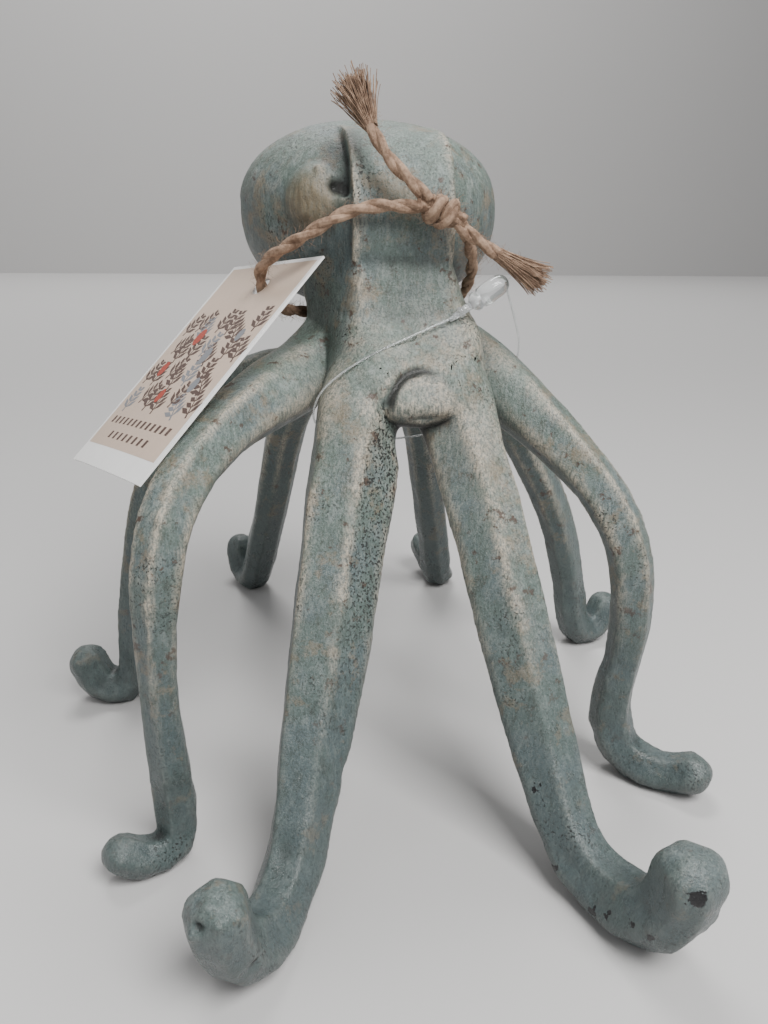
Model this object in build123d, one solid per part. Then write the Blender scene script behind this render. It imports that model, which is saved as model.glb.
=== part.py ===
from build123d import *
from dataclasses import dataclass
import math
import os

os.makedirs("parts", exist_ok=True)

# Octopus figurine: a head casting with eight cast arms seated on it, a twine loop with a card tag,
# and a clear loop fastener. Millimetres and degrees. It faces -Y, and stands on Z = 0 on its eight feet.
# The origin lies on its upright axis, midway between its outermost arm tips.

# Mantle: the bulb of the head
mantle_width = 64.0
mantle_crown = 20.0
mantle_belly = 24.0
mantle_x = -2.3
mantle_y = 14.0
mantle_rise = 11.5
mantle_fullness = 2.25
mantle_steps = 8
mantle_pole_radius = 2.0

# Flat strip from the crown down the forehead
strip_width = 22.6
strip_x = -0.9
strip_foot_y = -21.5
strip_brow_y = -22.0
strip_brow_rise = 13.0
strip_turn_y = -17.0
strip_turn_rise = 23.0
strip_top_y = -4.0
strip_top_rise = 28.6
strip_back_y = 12.0
strip_back_drop = 2.2

# Neck
neck_base_z = 100.6
neck_base_width = 30.0
neck_base_front = -22.6
neck_base_back = 17.0
neck_mid_share = 0.37
neck_mid_width = 27.0
neck_mid_front = -23.6
neck_mid_back = 9.0
neck_height = 25.4
neck_top_width = 22.4
neck_top_front = -21.5
neck_top_back = 9.0
neck_lean = 1.5
neck_corner = 1.2
neck_flank_y = -4.0
neck_base_left_flank = 17.0
neck_left_flank = 21.5
neck_right_flank = 14.5

# Eyes
eye_radius = 9.0
left_eye_azimuth = -33.0
right_eye_azimuth = 105.0
eye_rise = 1.0
eye_proud = 2.6

# Siphon: an oval stub in the fork of the two front arms
siphon_width = 15.0
siphon_height = 9.0
siphon_x = 1.2
siphon_z = 97.4
siphon_front_y = -33.0
siphon_length = 16.0
siphon_dip = -12.0
siphon_gap = 0.4

# Arm sections
arm_width = 13.0
arm_thickness = 11.5
arm_top_width = 6.8
arm_side_drop = 6.2
arm_bottom_chamfer = 3.6
seat_radius = 24.0
stub_inner_radius = 4.0
stub_inner_rise = 8.0
left_inner_rise = 14.0
rear_inner_rise = 4.0
stub_girth_share = 1.5
core_bottom_z = 92.0
core_radius = 17.0
core_top_radius = 13.0
core_sink = 7.4
foot_flat = 0.9
arm_stations = 28
arm_station_bias = 1.25
stub_stations = 4

# Arm reach from the seat to the sole, and height of each seat
front_left_reach = 71.0
front_right_reach = 74.8
left_reach = 60.0
right_reach = 55.5
rear_left_reach = 57.0
rear_right_reach = 56.0
back_left_reach = 71.0
back_right_reach = 67.4
front_seat_z = 98.0
side_seat_z = 101.0
rear_seat_z = 98.0

# Heights of the head, from the foot of the neck up
neck_top_z = neck_base_z + neck_height
neck_mid_z = neck_base_z + neck_mid_share * neck_height
mantle_z = neck_top_z + mantle_rise
strip_brow_z = neck_top_z + strip_brow_rise
strip_turn_z = neck_top_z + strip_turn_rise
strip_top_z = neck_top_z + strip_top_rise
eye_z = mantle_z + eye_rise
core_top_z = neck_base_z + core_sink

# Twine, its knot and its cut ends
twine_diameter = 3.3
twine_sides = 8
knot_width = 11.5
knot_height = 8.8
knot_x = 5.5
knot_y = -27.2
knot_z = 136.3
knot_steps = 8
fray_length = 9.0
fray_diameter = 7.5

# Card tag
tag_width = 40.0
tag_length = 62.0
tag_thickness = 0.5
tag_hole_radius = 2.5
tag_hole_drop = 8.0
tag_hole_aside = 23.0

# Place of the tag: its hole, the way it slopes down and its tilt
tag_hole_x = -31.0
tag_hole_y = -9.5
tag_hole_z = 120.1
tag_heading = -58.3
tag_slope = 41.9
tag_roll = 7.4

# Clear loop fastener
filament_diameter = 0.6
filament_sides = 6
lock_length = 9.5
lock_width = 4.8
lock_thickness = 3.6
lock_x = 17.5
lock_y = -25.5
lock_z = 120.1
lock_heading = 92.0
lock_slope = 34.0
pin_length = 6.0
pin_diameter = 1.9

# Routes of the cords, point by point
loop_route = [
    (1.5, -26.8, 137.0), (-6.5, -25.6, 137.6), (-14.5, -24.6, 135.9), (-22.0, -21.8, 131.4),
    (-27.8, -17.6, 128.0), (-32.3, -11.6, 123.8), (-29.4, -6.9, 115.5), (-23.5, 0.0, 114.0),
    (-17.5, 7.0, 113.0), (-9.5, 13.5, 110.9), (2.0, 15.8, 110.7), (12.9, 12.0, 112.0), (18.0, 3.0, 115.5),
    (18.5, -7.5, 120.5), (16.0, -18.4, 127.5), (10.4, -26.4, 134.0),
]
upper_route = [(3.0, -27.2, 138.5), (-3.8, -26.8, 144.0), (-7.6, -24.4, 149.4), (-9.4, -21.2, 154.4)]
lower_route = [(9.0, -26.8, 134.0), (14.5, -28.0, 130.0), (20.5, -28.2, 126.7)]
filament_route = [
    (9.8, -25.8, 114.9), (-3.0, -28.2, 110.2), (-14.5, -29.6, 105.0), (-21.5, -28.8, 99.0),
    (-22.0, -24.5, 91.0), (-12.0, -16.0, 85.0), (8.0, -10.0, 84.0), (25.0, -3.0, 86.5), (32.5, -1.0, 95.0),
    (34.5, -4.0, 104.5), (28.5, -13.5, 113.5), (21.0, -25.3, 122.4),
]

# Shares: length of a run taken by a bend, rise of the rounded tip, stations of an arm root and of the lock
bend_run_share = 0.45
dome_rise_shares = (0.45, 0.78, 0.96)
floor_reach_share = 6.0
lock_along_shares = (0.0, 0.15, 0.5, 0.85, 1.0)
lock_girth_shares = (0.55, 0.9, 1.0, 0.85, 0.5)
lock_corner_share = 0.3

# Bends of the arms: how far out, as shares of the reach, and how high, as shares of the way from sole to seat
front_out_shares = (0.085, 0.19, 0.29, 0.49, 0.61, 0.73, 0.86, 0.975, 1.05, 1.07)
front_up_shares = (0.915, 0.77, 0.61, 0.30, 0.135, 0.03, 0.0, 0.025, 0.11, 0.185)
left_out_shares = (0.28, 0.54, 0.79, 0.885, 0.895, 0.88, 0.872, 0.896, 0.96, 1.013, 1.068)
left_up_shares = (0.955, 0.90, 0.775, 0.56, 0.37, 0.20, 0.08, 0.017, 0.0, 0.01, 0.034)
right_out_shares = (0.28, 0.52, 0.71, 0.79, 0.775, 0.755, 0.77, 0.85, 1.0, 1.15)
right_up_shares = (0.885, 0.775, 0.64, 0.44, 0.27, 0.17, 0.09, 0.02, 0.0, 0.03)
rear_left_out_shares = (0.28, 0.54, 0.72, 0.795, 0.838, 0.858, 0.896, 0.97, 1.044, 1.077, 1.104)
rear_left_up_shares = (0.95, 0.82, 0.60, 0.38, 0.20, 0.058, 0.016, 0.0, 0.016, 0.046, 0.091)
rear_right_out_shares = (0.22, 0.48, 0.68, 0.81, 0.875, 0.914, 0.955, 1.027, 1.093, 1.132, 1.163)
rear_right_up_shares = (0.91, 0.70, 0.50, 0.30, 0.15, 0.051, 0.015, 0.0, 0.013, 0.04, 0.079)
back_left_out_shares = (0.22, 0.48, 0.66, 0.79, 0.89, 0.946, 0.983, 1.032, 1.089, 1.121, 1.151)
back_left_up_shares = (0.93, 0.75, 0.47, 0.27, 0.12, 0.037, 0.01, 0.0, 0.014, 0.043, 0.092)
back_right_out_shares = (0.20, 0.44, 0.63, 0.80, 0.875, 0.911, 0.947, 0.996, 1.052, 1.085, 1.113)
back_right_up_shares = (0.91, 0.69, 0.43, 0.20, 0.09, 0.035, 0.009, 0.0, 0.013, 0.041, 0.084)


@dataclass(frozen=True)
class Arm:
    """One arm: where it leaves the head, the way it heads, its bends and how stout it is along its length."""
    name: str
    root_azimuth: float
    heading: float
    reach: float
    seat_z: float
    out_shares: tuple
    up_shares: tuple
    girth_shares: tuple
    inner_rise: float
    curl_share: float = 0.0


# Girths are shares of the arm section at the seat, knee, shin, foot and tip
girth_place_shares = (0.0, 0.35, 0.66, 0.86, 1.0)
ARMS = (
    Arm("arm_front_left", -22.5, -27.7, front_left_reach, front_seat_z,
        front_out_shares, front_up_shares, (1.2, 1.08, 0.98, 0.98, 0.92), stub_inner_rise, 0.035),
    Arm("arm_front_right", 22.5, 20.5, front_right_reach, front_seat_z,
        front_out_shares, front_up_shares, (1.2, 1.06, 1.0, 1.1, 1.05), stub_inner_rise),
    Arm("arm_left", -67.5, -40.8, left_reach, side_seat_z,
        left_out_shares, left_up_shares, (1.2, 0.88, 0.62, 0.74, 0.7), left_inner_rise, 0.08),
    Arm("arm_right", 67.5, 46.2, right_reach, side_seat_z,
        right_out_shares, right_up_shares, (1.15, 0.86, 0.77, 0.84, 0.8), stub_inner_rise),
    Arm("arm_rear_left", -112.5, -98.8, rear_left_reach, rear_seat_z,
        rear_left_out_shares, rear_left_up_shares, (1.15, 0.86, 0.82, 0.88, 0.88), rear_inner_rise),
    Arm("arm_rear_right", 112.5, 106.7, rear_right_reach, rear_seat_z,
        rear_right_out_shares, rear_right_up_shares, (1.15, 0.86, 0.82, 0.86, 0.84), rear_inner_rise),
    Arm("arm_back_left", -157.5, -160.0, back_left_reach, rear_seat_z,
        back_left_out_shares, back_left_up_shares, (1.15, 1.0, 0.95, 0.94, 0.9), rear_inner_rise),
    Arm("arm_back_right", 157.5, 152.0, back_right_reach, rear_seat_z,
        back_right_out_shares, back_right_up_shares, (1.15, 0.92, 0.88, 0.9, 0.88), rear_inner_rise, -0.13),
)


def outward(azimuth):
    """Level direction at an azimuth measured from the front, positive to the figurine's left-hand +X side."""
    angle = math.radians(azimuth)
    return Vector(math.sin(angle), -math.cos(angle), 0)


def blend(places, values, where):
    """Value between the two nearest places, eased so that it has no kink."""
    for low, high, first, second in zip(places, places[1:], values, values[1:]):
        if where <= high:
            part = (where - low) / (high - low)
            return first + (second - first) * part * part * (3 - 2 * part)
    return values[-1]


def bar_section(centre, tangent, side, girth):
    """Filed bar section square to the arm: a narrow flat on top, sloping sides and a bevelled belly."""
    plane = Plane(origin=centre, x_dir=side, z_dir=tangent)
    half_width = arm_width * girth / 2
    half_thick = arm_thickness * girth / 2
    half_top = arm_top_width * girth / 2
    side_height = half_thick - arm_side_drop * girth
    bottom = arm_bottom_chamfer * girth
    points = [
        (half_width, bottom - half_thick), (half_width, side_height), (half_top, half_thick),
        (-half_top, half_thick), (-half_width, side_height), (-half_width, bottom - half_thick),
        (bottom - half_width, -half_thick), (half_width - bottom, -half_thick),
    ]
    return plane * make_face(Polyline(*points, close=True))


def seat_centre(arm):
    """Middle of the face where an arm meets the head."""
    return outward(arm.root_azimuth) * seat_radius + Vector(0, 0, arm.seat_z)


def arm_spine(arm):
    """Smooth middle line of an arm from its seat to the middle of its tip."""
    sole_z = arm_thickness * arm.girth_shares[3] / 2 - foot_flat
    heading = outward(arm.heading)
    across = heading.cross(Vector(0, 0, 1))
    ankle = arm.out_shares[-5]
    toe = arm.out_shares[-1]
    points = [seat_centre(arm)]
    for out, up in zip(arm.out_shares, arm.up_shares):
        curl = arm.curl_share * arm.reach * (max(0.0, out - ankle) / (toe - ankle)) ** 2
        level = seat_centre(arm) + heading * (out * arm.reach) + across * curl
        points.append(Vector(level.X, level.Y, sole_z + up * (arm.seat_z - sole_z)))
    return Spline(*points)


def make_arm(arm):
    """One cast arm with a blunt domed tip and a small flat ground on its sole."""
    spine = arm_spine(arm)
    side_level = Vector(0, 0, 1).cross(outward(arm.heading))
    sections = []
    for step in range(arm_stations + 1):
        where = 1 - (1 - step / arm_stations) ** arm_station_bias
        tangent = spine % where
        side = (side_level - tangent * side_level.dot(tangent)).normalized()
        girth = blend(girth_place_shares, arm.girth_shares, where)
        sections.append(bar_section(spine @ where, tangent, side, girth))
    dome = arm_thickness * arm.girth_shares[-1] / 2
    for rise_share in dome_rise_shares:
        centre = spine @ 1 + tangent * (dome * rise_share)
        shrink = math.sqrt(1 - rise_share ** 2)
        sections.append(bar_section(centre, tangent, side, girth * shrink))
    bar = loft(sections, ruled=True)
    span = floor_reach_share * arm.reach
    floor = Box(span, span, arm_thickness, align=(Align.CENTER, Align.CENTER, Align.MAX))
    return bar - floor


def make_stub(arm):
    """Root of an arm inside the head casting, ending in the flat seat of that arm."""
    spine = arm_spine(arm)
    end_way = spine % 0
    start = outward(arm.root_azimuth) * stub_inner_radius + Vector(0, 0, arm.seat_z + arm.inner_rise)
    way = (seat_centre(arm) - start).normalized()
    path = Spline(start, seat_centre(arm), tangents=(way, end_way))
    side_level = Vector(0, 0, 1).cross(outward(arm.heading))
    sections = []
    for step in range(stub_stations + 1):
        where = step / stub_stations
        tangent = path % where
        side = (side_level - tangent * side_level.dot(tangent)).normalized()
        girth = stub_girth_share + (arm.girth_shares[0] - stub_girth_share) * where
        sections.append(bar_section(path @ where, tangent, side, girth))
    return loft(sections, ruled=True)


def make_mantle():
    """Bulb of the head: a turned bun, fuller than a ball and flatter above than below."""
    outline = []
    for step in range(-mantle_steps, mantle_steps + 1):
        angle = math.pi / 2 * step / mantle_steps
        out = mantle_width / 2 * math.cos(angle) ** (2 / mantle_fullness)
        rise = abs(math.sin(angle)) ** (2 / mantle_fullness)
        outline.append((out, rise * mantle_crown if step > 0 else -rise * mantle_belly))
    outline[0] = (mantle_pole_radius, -mantle_belly)
    outline[-1] = (mantle_pole_radius, mantle_crown)
    closing = Polyline(outline[-1], (0, mantle_crown), (0, -mantle_belly), outline[0])
    half = make_face(Plane.XZ * Spline(*outline) + Plane.XZ * closing)
    return Pos(mantle_x, mantle_y, mantle_z) * revolve(half, axis=Axis.Z)


def make_strip():
    """Flat strip over the forehead, standing a little proud of the mantle."""
    front = Spline((strip_foot_y, neck_top_z), (strip_brow_y, strip_brow_z), (strip_turn_y, strip_turn_z),
                   (strip_top_y, strip_top_z), (strip_back_y, mantle_z + mantle_crown - strip_back_drop))
    back = Polyline((strip_back_y, mantle_z + mantle_crown - strip_back_drop), (strip_back_y, mantle_z),
                    (mantle_y, neck_top_z), (strip_foot_y, neck_top_z))
    profile = make_face(Plane.YZ * front + Plane.YZ * back)
    return Pos(strip_x, 0, 0) * extrude(profile, amount=strip_width / 2, both=True)


def neck_section(height, width, front, back, lean, left_flank):
    """Level section of the neck: flat in front, with sloping flanks that draw in again towards the back."""
    half = width / 2
    inner = half - neck_corner
    points = [
        (inner, front), (half, front + neck_corner), (neck_right_flank, neck_flank_y), (inner - neck_corner, back),
        (neck_corner - inner, back), (-left_flank, neck_flank_y), (-half, front + neck_corner), (-inner, front),
    ]
    return Pos(lean, 0, height) * make_face(Polyline(*points, close=True))


def make_neck():
    """Neck, flaring down to the roots of the arms."""
    return loft([
        neck_section(neck_base_z, neck_base_width, neck_base_front, neck_base_back, 0, neck_base_left_flank),
        neck_section(neck_mid_z, neck_mid_width, neck_mid_front, neck_mid_back, neck_lean, neck_left_flank),
        neck_section(neck_top_z, neck_top_width, neck_top_front, neck_top_back, strip_x, neck_left_flank),
        neck_section(strip_brow_z, neck_top_width, strip_brow_y, neck_top_back, strip_x, neck_left_flank),
    ], ruled=True)


def make_eye(azimuth):
    """Round bump of an eye, set into the mantle and standing proud of it."""
    centre = Vector(mantle_x, mantle_y, eye_z) + outward(azimuth) * (mantle_width / 2 + eye_proud - eye_radius)
    return Pos(centre) * Sphere(eye_radius)


def siphon_body(grow):
    """Oval siphon stub, or the room for it when it is grown by the gap."""
    face = Ellipse(siphon_width / 2 + grow, siphon_height / 2 + grow)
    stub = extrude(Rot(90, 0, 0) * face, amount=-siphon_length)
    return Pos(siphon_x, siphon_front_y, siphon_z) * Rot(siphon_dip, 0, 0) * stub


def make_head():
    """Head casting: mantle, forehead strip, neck, eyes, siphon and the seats of the eight arms."""
    core = Pos(0, 0, core_bottom_z) * Cone(core_radius, core_top_radius, core_top_z - core_bottom_z,
                                          align=(Align.CENTER, Align.CENTER, Align.MIN))
    body = make_mantle() + make_strip() + make_neck() + core
    for arm in ARMS:
        body += make_stub(arm)
    for azimuth in (left_eye_azimuth, right_eye_azimuth):
        body += make_eye(azimuth)
    return body + siphon_body(0)


def tag_plane():
    """Plane of the card's face: X to its near edge, Y to its top edge, Z out of its printed face."""
    level = outward(tag_heading + 90)
    down = outward(tag_heading) * math.cos(math.radians(tag_slope)) - Vector(0, 0, math.sin(math.radians(tag_slope)))
    upright = down.cross(level)
    across = level * math.cos(math.radians(tag_roll)) + upright * math.sin(math.radians(tag_roll))
    return Plane(origin=(tag_hole_x, tag_hole_y, tag_hole_z), x_dir=across, z_dir=down.cross(across))


def make_tag():
    """Card tag with a round hole for the twine."""
    middle_x = tag_width / 2 - tag_hole_aside
    middle_y = tag_hole_drop - tag_length / 2
    card = Pos(middle_x, middle_y, 0) * Rectangle(tag_width, tag_length) - Circle(tag_hole_radius)
    return tag_plane() * extrude(card, amount=tag_thickness / 2, both=True)


def route_radii(points):
    """Bend radius at each inner point of a route: 0.45 of the shorter run, over the tangent of half the turn."""
    radii = []
    for before, here, after in zip(points, points[1:], points[2:]):
        first = Vector(here) - Vector(before)
        second = Vector(after) - Vector(here)
        half_turn = math.radians(first.get_angle(second)) / 2
        radii.append(bend_run_share * min(first.length, second.length) / math.tan(half_turn))
    return radii


def make_tube(name, points, diameter, sides):
    """Many-sided tube along straight runs joined by tangent arcs."""
    radii = route_radii(points)
    path = FilletPolyline(*points, radius=radii)
    section = Plane(origin=path @ 0, z_dir=path % 0) * RegularPolygon(diameter / 2, sides)
    tube = sweep(section, path=path)
    print(name, "radii", [round(radius, 1) for radius in radii], "length", round(path.length, 1),
          "volume over section times length", round(tube.volume / (section.area * path.length), 4))
    return tube


def make_fray(points):
    """Short flared brush at a cut end of the twine."""
    end = Vector(points[-1])
    way = (end - Vector(points[-2])).normalized()
    start = Plane(origin=end, z_dir=way) * RegularPolygon(twine_diameter / 2, twine_sides)
    mouth = Plane(origin=end + way * fray_length, z_dir=way) * RegularPolygon(fray_diameter / 2, twine_sides)
    return loft([start, mouth], ruled=True)


def make_knot():
    """Rounded lump of the overhand knot."""
    arch = []
    for step in range(knot_steps + 1):
        angle = math.pi * step / knot_steps
        arch.append((knot_width / 2 * math.cos(angle), knot_height / 2 * math.sin(angle)))
    half = make_face(Plane.XZ * Polyline(*arch, close=True))
    return Pos(knot_x, knot_y, knot_z) * revolve(half, axis=Axis.X)


def lock_section(girth_share):
    """Section of the lock: a rectangle with bevelled corners."""
    half_width = lock_width * girth_share / 2
    half_thick = lock_thickness * girth_share / 2
    corner = lock_thickness * girth_share * lock_corner_share
    points = [
        (half_width, corner - half_thick), (half_width, half_thick - corner),
        (half_width - corner, half_thick), (corner - half_width, half_thick),
        (-half_width, half_thick - corner), (-half_width, corner - half_thick),
        (corner - half_width, -half_thick), (half_width - corner, -half_thick),
    ]
    return make_face(Polyline(*points, close=True))


def make_lock():
    """Clear lock of the fastener: a flattened capsule with a round pin at its inner end."""
    slope = math.radians(lock_slope)
    way = outward(lock_heading) * -math.cos(slope) - Vector(0, 0, math.sin(slope))
    plane = Plane(origin=(lock_x, lock_y, lock_z), z_dir=way).offset(-lock_length / 2)
    sections = []
    for along_share, girth_share in zip(lock_along_shares, lock_girth_shares):
        spot = plane.offset(lock_length * along_share)
        sections.append(spot * lock_section(girth_share))
    pin = plane.offset(lock_length) * Cylinder(pin_diameter / 2, pin_length,
                                               align=(Align.CENTER, Align.CENTER, Align.MIN))
    return loft(sections, ruled=True) + pin


head = make_head()
pieces = {"head_casting": head}
for arm in ARMS:
    pieces[arm.name] = make_arm(arm)
for name in ("arm_front_left", "arm_front_right"):
    pieces[name] -= siphon_body(siphon_gap)
pieces["hang_tag"] = make_tag()
pieces["twine_loop"] = make_tube("twine_loop", loop_route, twine_diameter, twine_sides)
pieces["twine_knot"] = make_knot()
pieces["twine_end_upper"] = make_tube("twine_end_upper", upper_route, twine_diameter, twine_sides) + make_fray(upper_route)
pieces["twine_end_lower"] = make_tube("twine_end_lower", lower_route, twine_diameter, twine_sides) + make_fray(lower_route)
pieces["fastener_lock"] = make_lock()
pieces["fastener_filament"] = make_tube("fastener_filament", filament_route, filament_diameter,
                                       filament_sides)
for name, solid in pieces.items():
    export_step(solid, f"parts/{name}.step")
    print(name, "solids", len(solid.solids()), "volume", round(solid.volume), "valid", solid.is_valid,
          solid.bounding_box())
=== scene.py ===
"""Octopus figurine on a pale floor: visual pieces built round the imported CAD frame.

Lengths are in metres, or in millimetres where a name ends in _mm.
The figurine faces -Y and stands on Z = 0.
"""

import logging
import math
from dataclasses import dataclass
from enum import Enum
from typing import Optional, Sequence

import bmesh
import bpy
import numpy as np
from bpy.types import Material, Mesh, Node, NodeSocket, Object
from mathutils import Matrix, Vector
from mathutils.kdtree import KDTree


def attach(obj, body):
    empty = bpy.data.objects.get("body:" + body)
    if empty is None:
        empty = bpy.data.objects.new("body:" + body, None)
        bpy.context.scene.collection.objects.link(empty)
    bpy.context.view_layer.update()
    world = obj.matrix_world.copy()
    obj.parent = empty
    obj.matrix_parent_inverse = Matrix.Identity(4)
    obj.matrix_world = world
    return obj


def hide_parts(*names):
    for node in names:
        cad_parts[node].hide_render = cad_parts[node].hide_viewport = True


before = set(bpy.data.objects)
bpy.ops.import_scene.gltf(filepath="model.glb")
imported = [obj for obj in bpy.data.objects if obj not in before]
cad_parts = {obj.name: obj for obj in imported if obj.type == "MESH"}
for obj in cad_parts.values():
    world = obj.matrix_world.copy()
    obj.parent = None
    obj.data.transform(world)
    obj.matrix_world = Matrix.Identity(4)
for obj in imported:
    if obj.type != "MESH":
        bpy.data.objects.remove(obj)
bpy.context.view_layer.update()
log = logging.getLogger("octopus")

MM = 0.001
FULL_TURN = 6.28
FUZZ_LEAN = 1.1
FRAY_SWAY = 0.16
GOLDEN_ANGLE = math.pi * (3 - math.sqrt(5))

Colour = tuple[float, float, float]
Point = tuple[float, float, float]


class Body(Enum):
    """Rigid bodies of the record that a visual piece can ride on."""

    FIGURINE = "figurine"
    TAG = "tag"


class Slot(Enum):
    """Material slots of the record."""

    CASTING = "verdigris_casting"
    TWINE = "jute_twine"
    CARD = "printed_card"
    CLEAR = "clear_plastic"


CASTING_NODES = (
    "head_casting", "arm_front_left", "arm_front_right", "arm_left", "arm_right",
    "arm_rear_left", "arm_rear_right", "arm_back_left", "arm_back_right",
)

# Routes of the cords in millimetres, as in the part's source
LOOP_ROUTE_MM = [
    (1.5, -26.8, 137.0), (-6.5, -25.6, 137.6), (-14.5, -24.6, 135.9), (-22.0, -21.8, 131.4),
    (-27.8, -17.6, 128.0), (-32.3, -11.6, 123.8), (-29.4, -6.9, 115.5), (-23.5, 0.0, 114.0),
    (-17.5, 7.0, 113.0), (-9.5, 13.5, 110.9), (2.0, 15.8, 110.7), (12.9, 12.0, 112.0), (18.0, 3.0, 115.5),
    (18.5, -7.5, 120.5), (16.0, -18.4, 127.5), (10.4, -26.4, 134.0),
]
UPPER_ROUTE_MM = [(3.0, -27.2, 138.5), (-3.8, -26.8, 144.0), (-7.6, -24.4, 149.4), (-9.4, -21.2, 154.4)]
LOWER_ROUTE_MM = [(9.0, -26.8, 134.0), (14.5, -28.0, 130.0), (20.5, -28.2, 126.7)]
FILAMENT_ROUTE_MM = [
    (9.8, -25.8, 114.9), (-3.0, -28.2, 110.2), (-14.5, -29.6, 105.0), (-21.5, -28.8, 99.0),
    (-22.0, -24.5, 91.0), (-12.0, -16.0, 85.0), (8.0, -10.0, 84.0), (25.0, -3.0, 86.5), (32.5, -1.0, 95.0),
    (34.5, -4.0, 104.5), (28.5, -13.5, 113.5), (21.0, -25.3, 122.4),
]


def metres(points_mm: Sequence[Point]) -> np.ndarray:
    """Points given in millimetres, as an array in metres.

    Args:
        points_mm: points in millimetres.
    Returns:
        Array of shape (count, 3) in metres.
    """
    return np.array(points_mm, dtype=float) * MM


def unit(vectors: np.ndarray) -> np.ndarray:
    """Vectors brought to length one.

    Args:
        vectors: array whose last axis holds the components.
    Returns:
        Array of the same shape.
    """
    return vectors / np.maximum(np.linalg.norm(vectors, axis=-1, keepdims=True), 1e-12)


def lattice_noise(points: np.ndarray, scale: float, seed: int) -> np.ndarray:
    """Smooth value noise from a hashed lattice.

    Args:
        points: array of shape (count, 3).
        scale: lattice cells per metre.
        seed: whole number that picks the pattern.
    Returns:
        One value from -1 to 1 per point.
    """
    scaled = points * scale + 1000.0
    cell = np.floor(scaled).astype(np.int64)
    part = scaled - cell
    ease = part * part * (3 - 2 * part)
    total = np.zeros(len(points))
    for corner in np.ndindex(2, 2, 2):
        at = cell + np.array(corner)
        mixed = at[:, 0] * 73856093 ^ at[:, 1] * 19349663 ^ at[:, 2] * 83492791 ^ (seed * 2654435761)
        mixed = (mixed ^ (mixed >> 13)) * 1274126177
        value = ((mixed >> 8) & 0xFFFF) / 32767.5 - 1.0
        weight = np.prod(np.where(np.array(corner) == 1, ease, 1 - ease), axis=1)
        total += value * weight
    return total


def new_mesh(name: str, vertices: np.ndarray, faces: Sequence[Sequence[int]],
             material: Optional[Material] = None) -> Mesh:
    """Mesh from arrays, smooth shaded.

    Args:
        name: name of the mesh.
        vertices: array of shape (count, 3).
        faces: vertex indices of each face.
        material: its material, if it has one.
    Returns:
        The new mesh.
    """
    mesh = bpy.data.meshes.new(name)
    mesh.from_pydata(np.asarray(vertices).tolist(), [], [list(map(int, face)) for face in faces])
    mesh.shade_smooth()
    mesh.update()
    if material:
        mesh.materials.append(material)
    return mesh


def new_object(name: str, data: bpy.types.ID) -> Object:
    """Object at the origin, linked to the scene.

    Args:
        name: name of the object.
        data: mesh, curve, light or camera that it shows.
    Returns:
        The new object.
    """
    made = bpy.data.objects.new(name, data)
    bpy.context.scene.collection.objects.link(made)
    return made


def evaluated_mesh(source: Object) -> Mesh:
    """Mesh of an object with its modifiers applied.

    Args:
        source: object to evaluate.
    Returns:
        A new mesh that belongs to no object.
    """
    depsgraph = bpy.context.evaluated_depsgraph_get()
    return bpy.data.meshes.new_from_object(source.evaluated_get(depsgraph))


def joined_mesh(name: str, meshes: Sequence[Mesh]) -> Mesh:
    """One mesh with the faces of several, and their materials.

    Args:
        name: name of the new mesh.
        meshes: meshes to join.
    Returns:
        The new mesh.
    """
    whole = bmesh.new()
    materials: list[Material] = []
    for mesh in meshes:
        for material in mesh.materials:
            if material not in materials:
                materials.append(material)
        before = len(whole.faces)
        whole.from_mesh(mesh)
        whole.faces.ensure_lookup_table()
        for face in whole.faces[before:]:
            if mesh.materials:
                face.material_index = materials.index(mesh.materials[face.material_index])
    joined = bpy.data.meshes.new(name)
    for material in materials:
        joined.materials.append(material)
    whole.to_mesh(joined)
    whole.free()
    return joined


def place(name: str, mesh: Mesh, body: Body,
          nodes: Sequence[str] = ()) -> Object:
    """Make a visual piece and hand it to the frame.

    Args:
        name: name of the piece.
        mesh: its mesh.
        body: body that it rides on.
        nodes: CAD nodes that it stands for.
    Returns:
        The piece.
    """
    piece = new_object(name, mesh)
    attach(piece, body.value)
    if nodes:
        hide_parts(*nodes)
    log.info("%s: %d faces, rides on %s", name, len(mesh.polygons), body.value)
    return piece


def slope_way(heading_deg: float, slope_deg: float) -> np.ndarray:
    """Direction across a heading and down a slope.

    Args:
        heading_deg: heading of the level line that the slope falls away from.
        slope_deg: angle below level.
    Returns:
        Vector of length one.
    """
    heading = math.radians(heading_deg)
    slope = math.radians(slope_deg)
    level = math.cos(slope)
    return np.array([math.sin(heading) * level, -math.cos(heading) * level, -math.sin(slope)])


def strip_faces(rings: int, sides: int) -> list[list[int]]:
    """Quads between rings of vertices that follow each other.

    Args:
        rings: number of rings.
        sides: vertices in each ring.
    Returns:
        Vertex indices of each quad.
    """
    faces = []
    for ring in range(rings - 1):
        for corner in range(sides):
            here = ring * sides + corner
            beside = ring * sides + (corner + 1) % sides
            faces.append([here, beside, beside + sides, here + sides])
    return faces


class NodeKit:
    """Calls that shader trees and geometry trees share."""

    def __init__(self, tree: bpy.types.NodeTree) -> None:
        """Take up a tree.

        Args:
            tree: tree that the nodes go in.
        """
        self.nodes = tree.nodes
        self.links = tree.links

    def node(self, kind: str, **settings: object) -> Node:
        """Add one node.

        Args:
            kind: node type.
            settings: node properties by name.
        Returns:
            The new node.
        """
        made = self.nodes.new(kind)
        for key, value in settings.items():
            setattr(made, key, value)
        return made

    def link(self, source: NodeSocket, target: NodeSocket) -> None:
        """Link two sockets.

        Args:
            source: output socket.
            target: input socket.
        """
        self.links.new(source, target)


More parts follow.
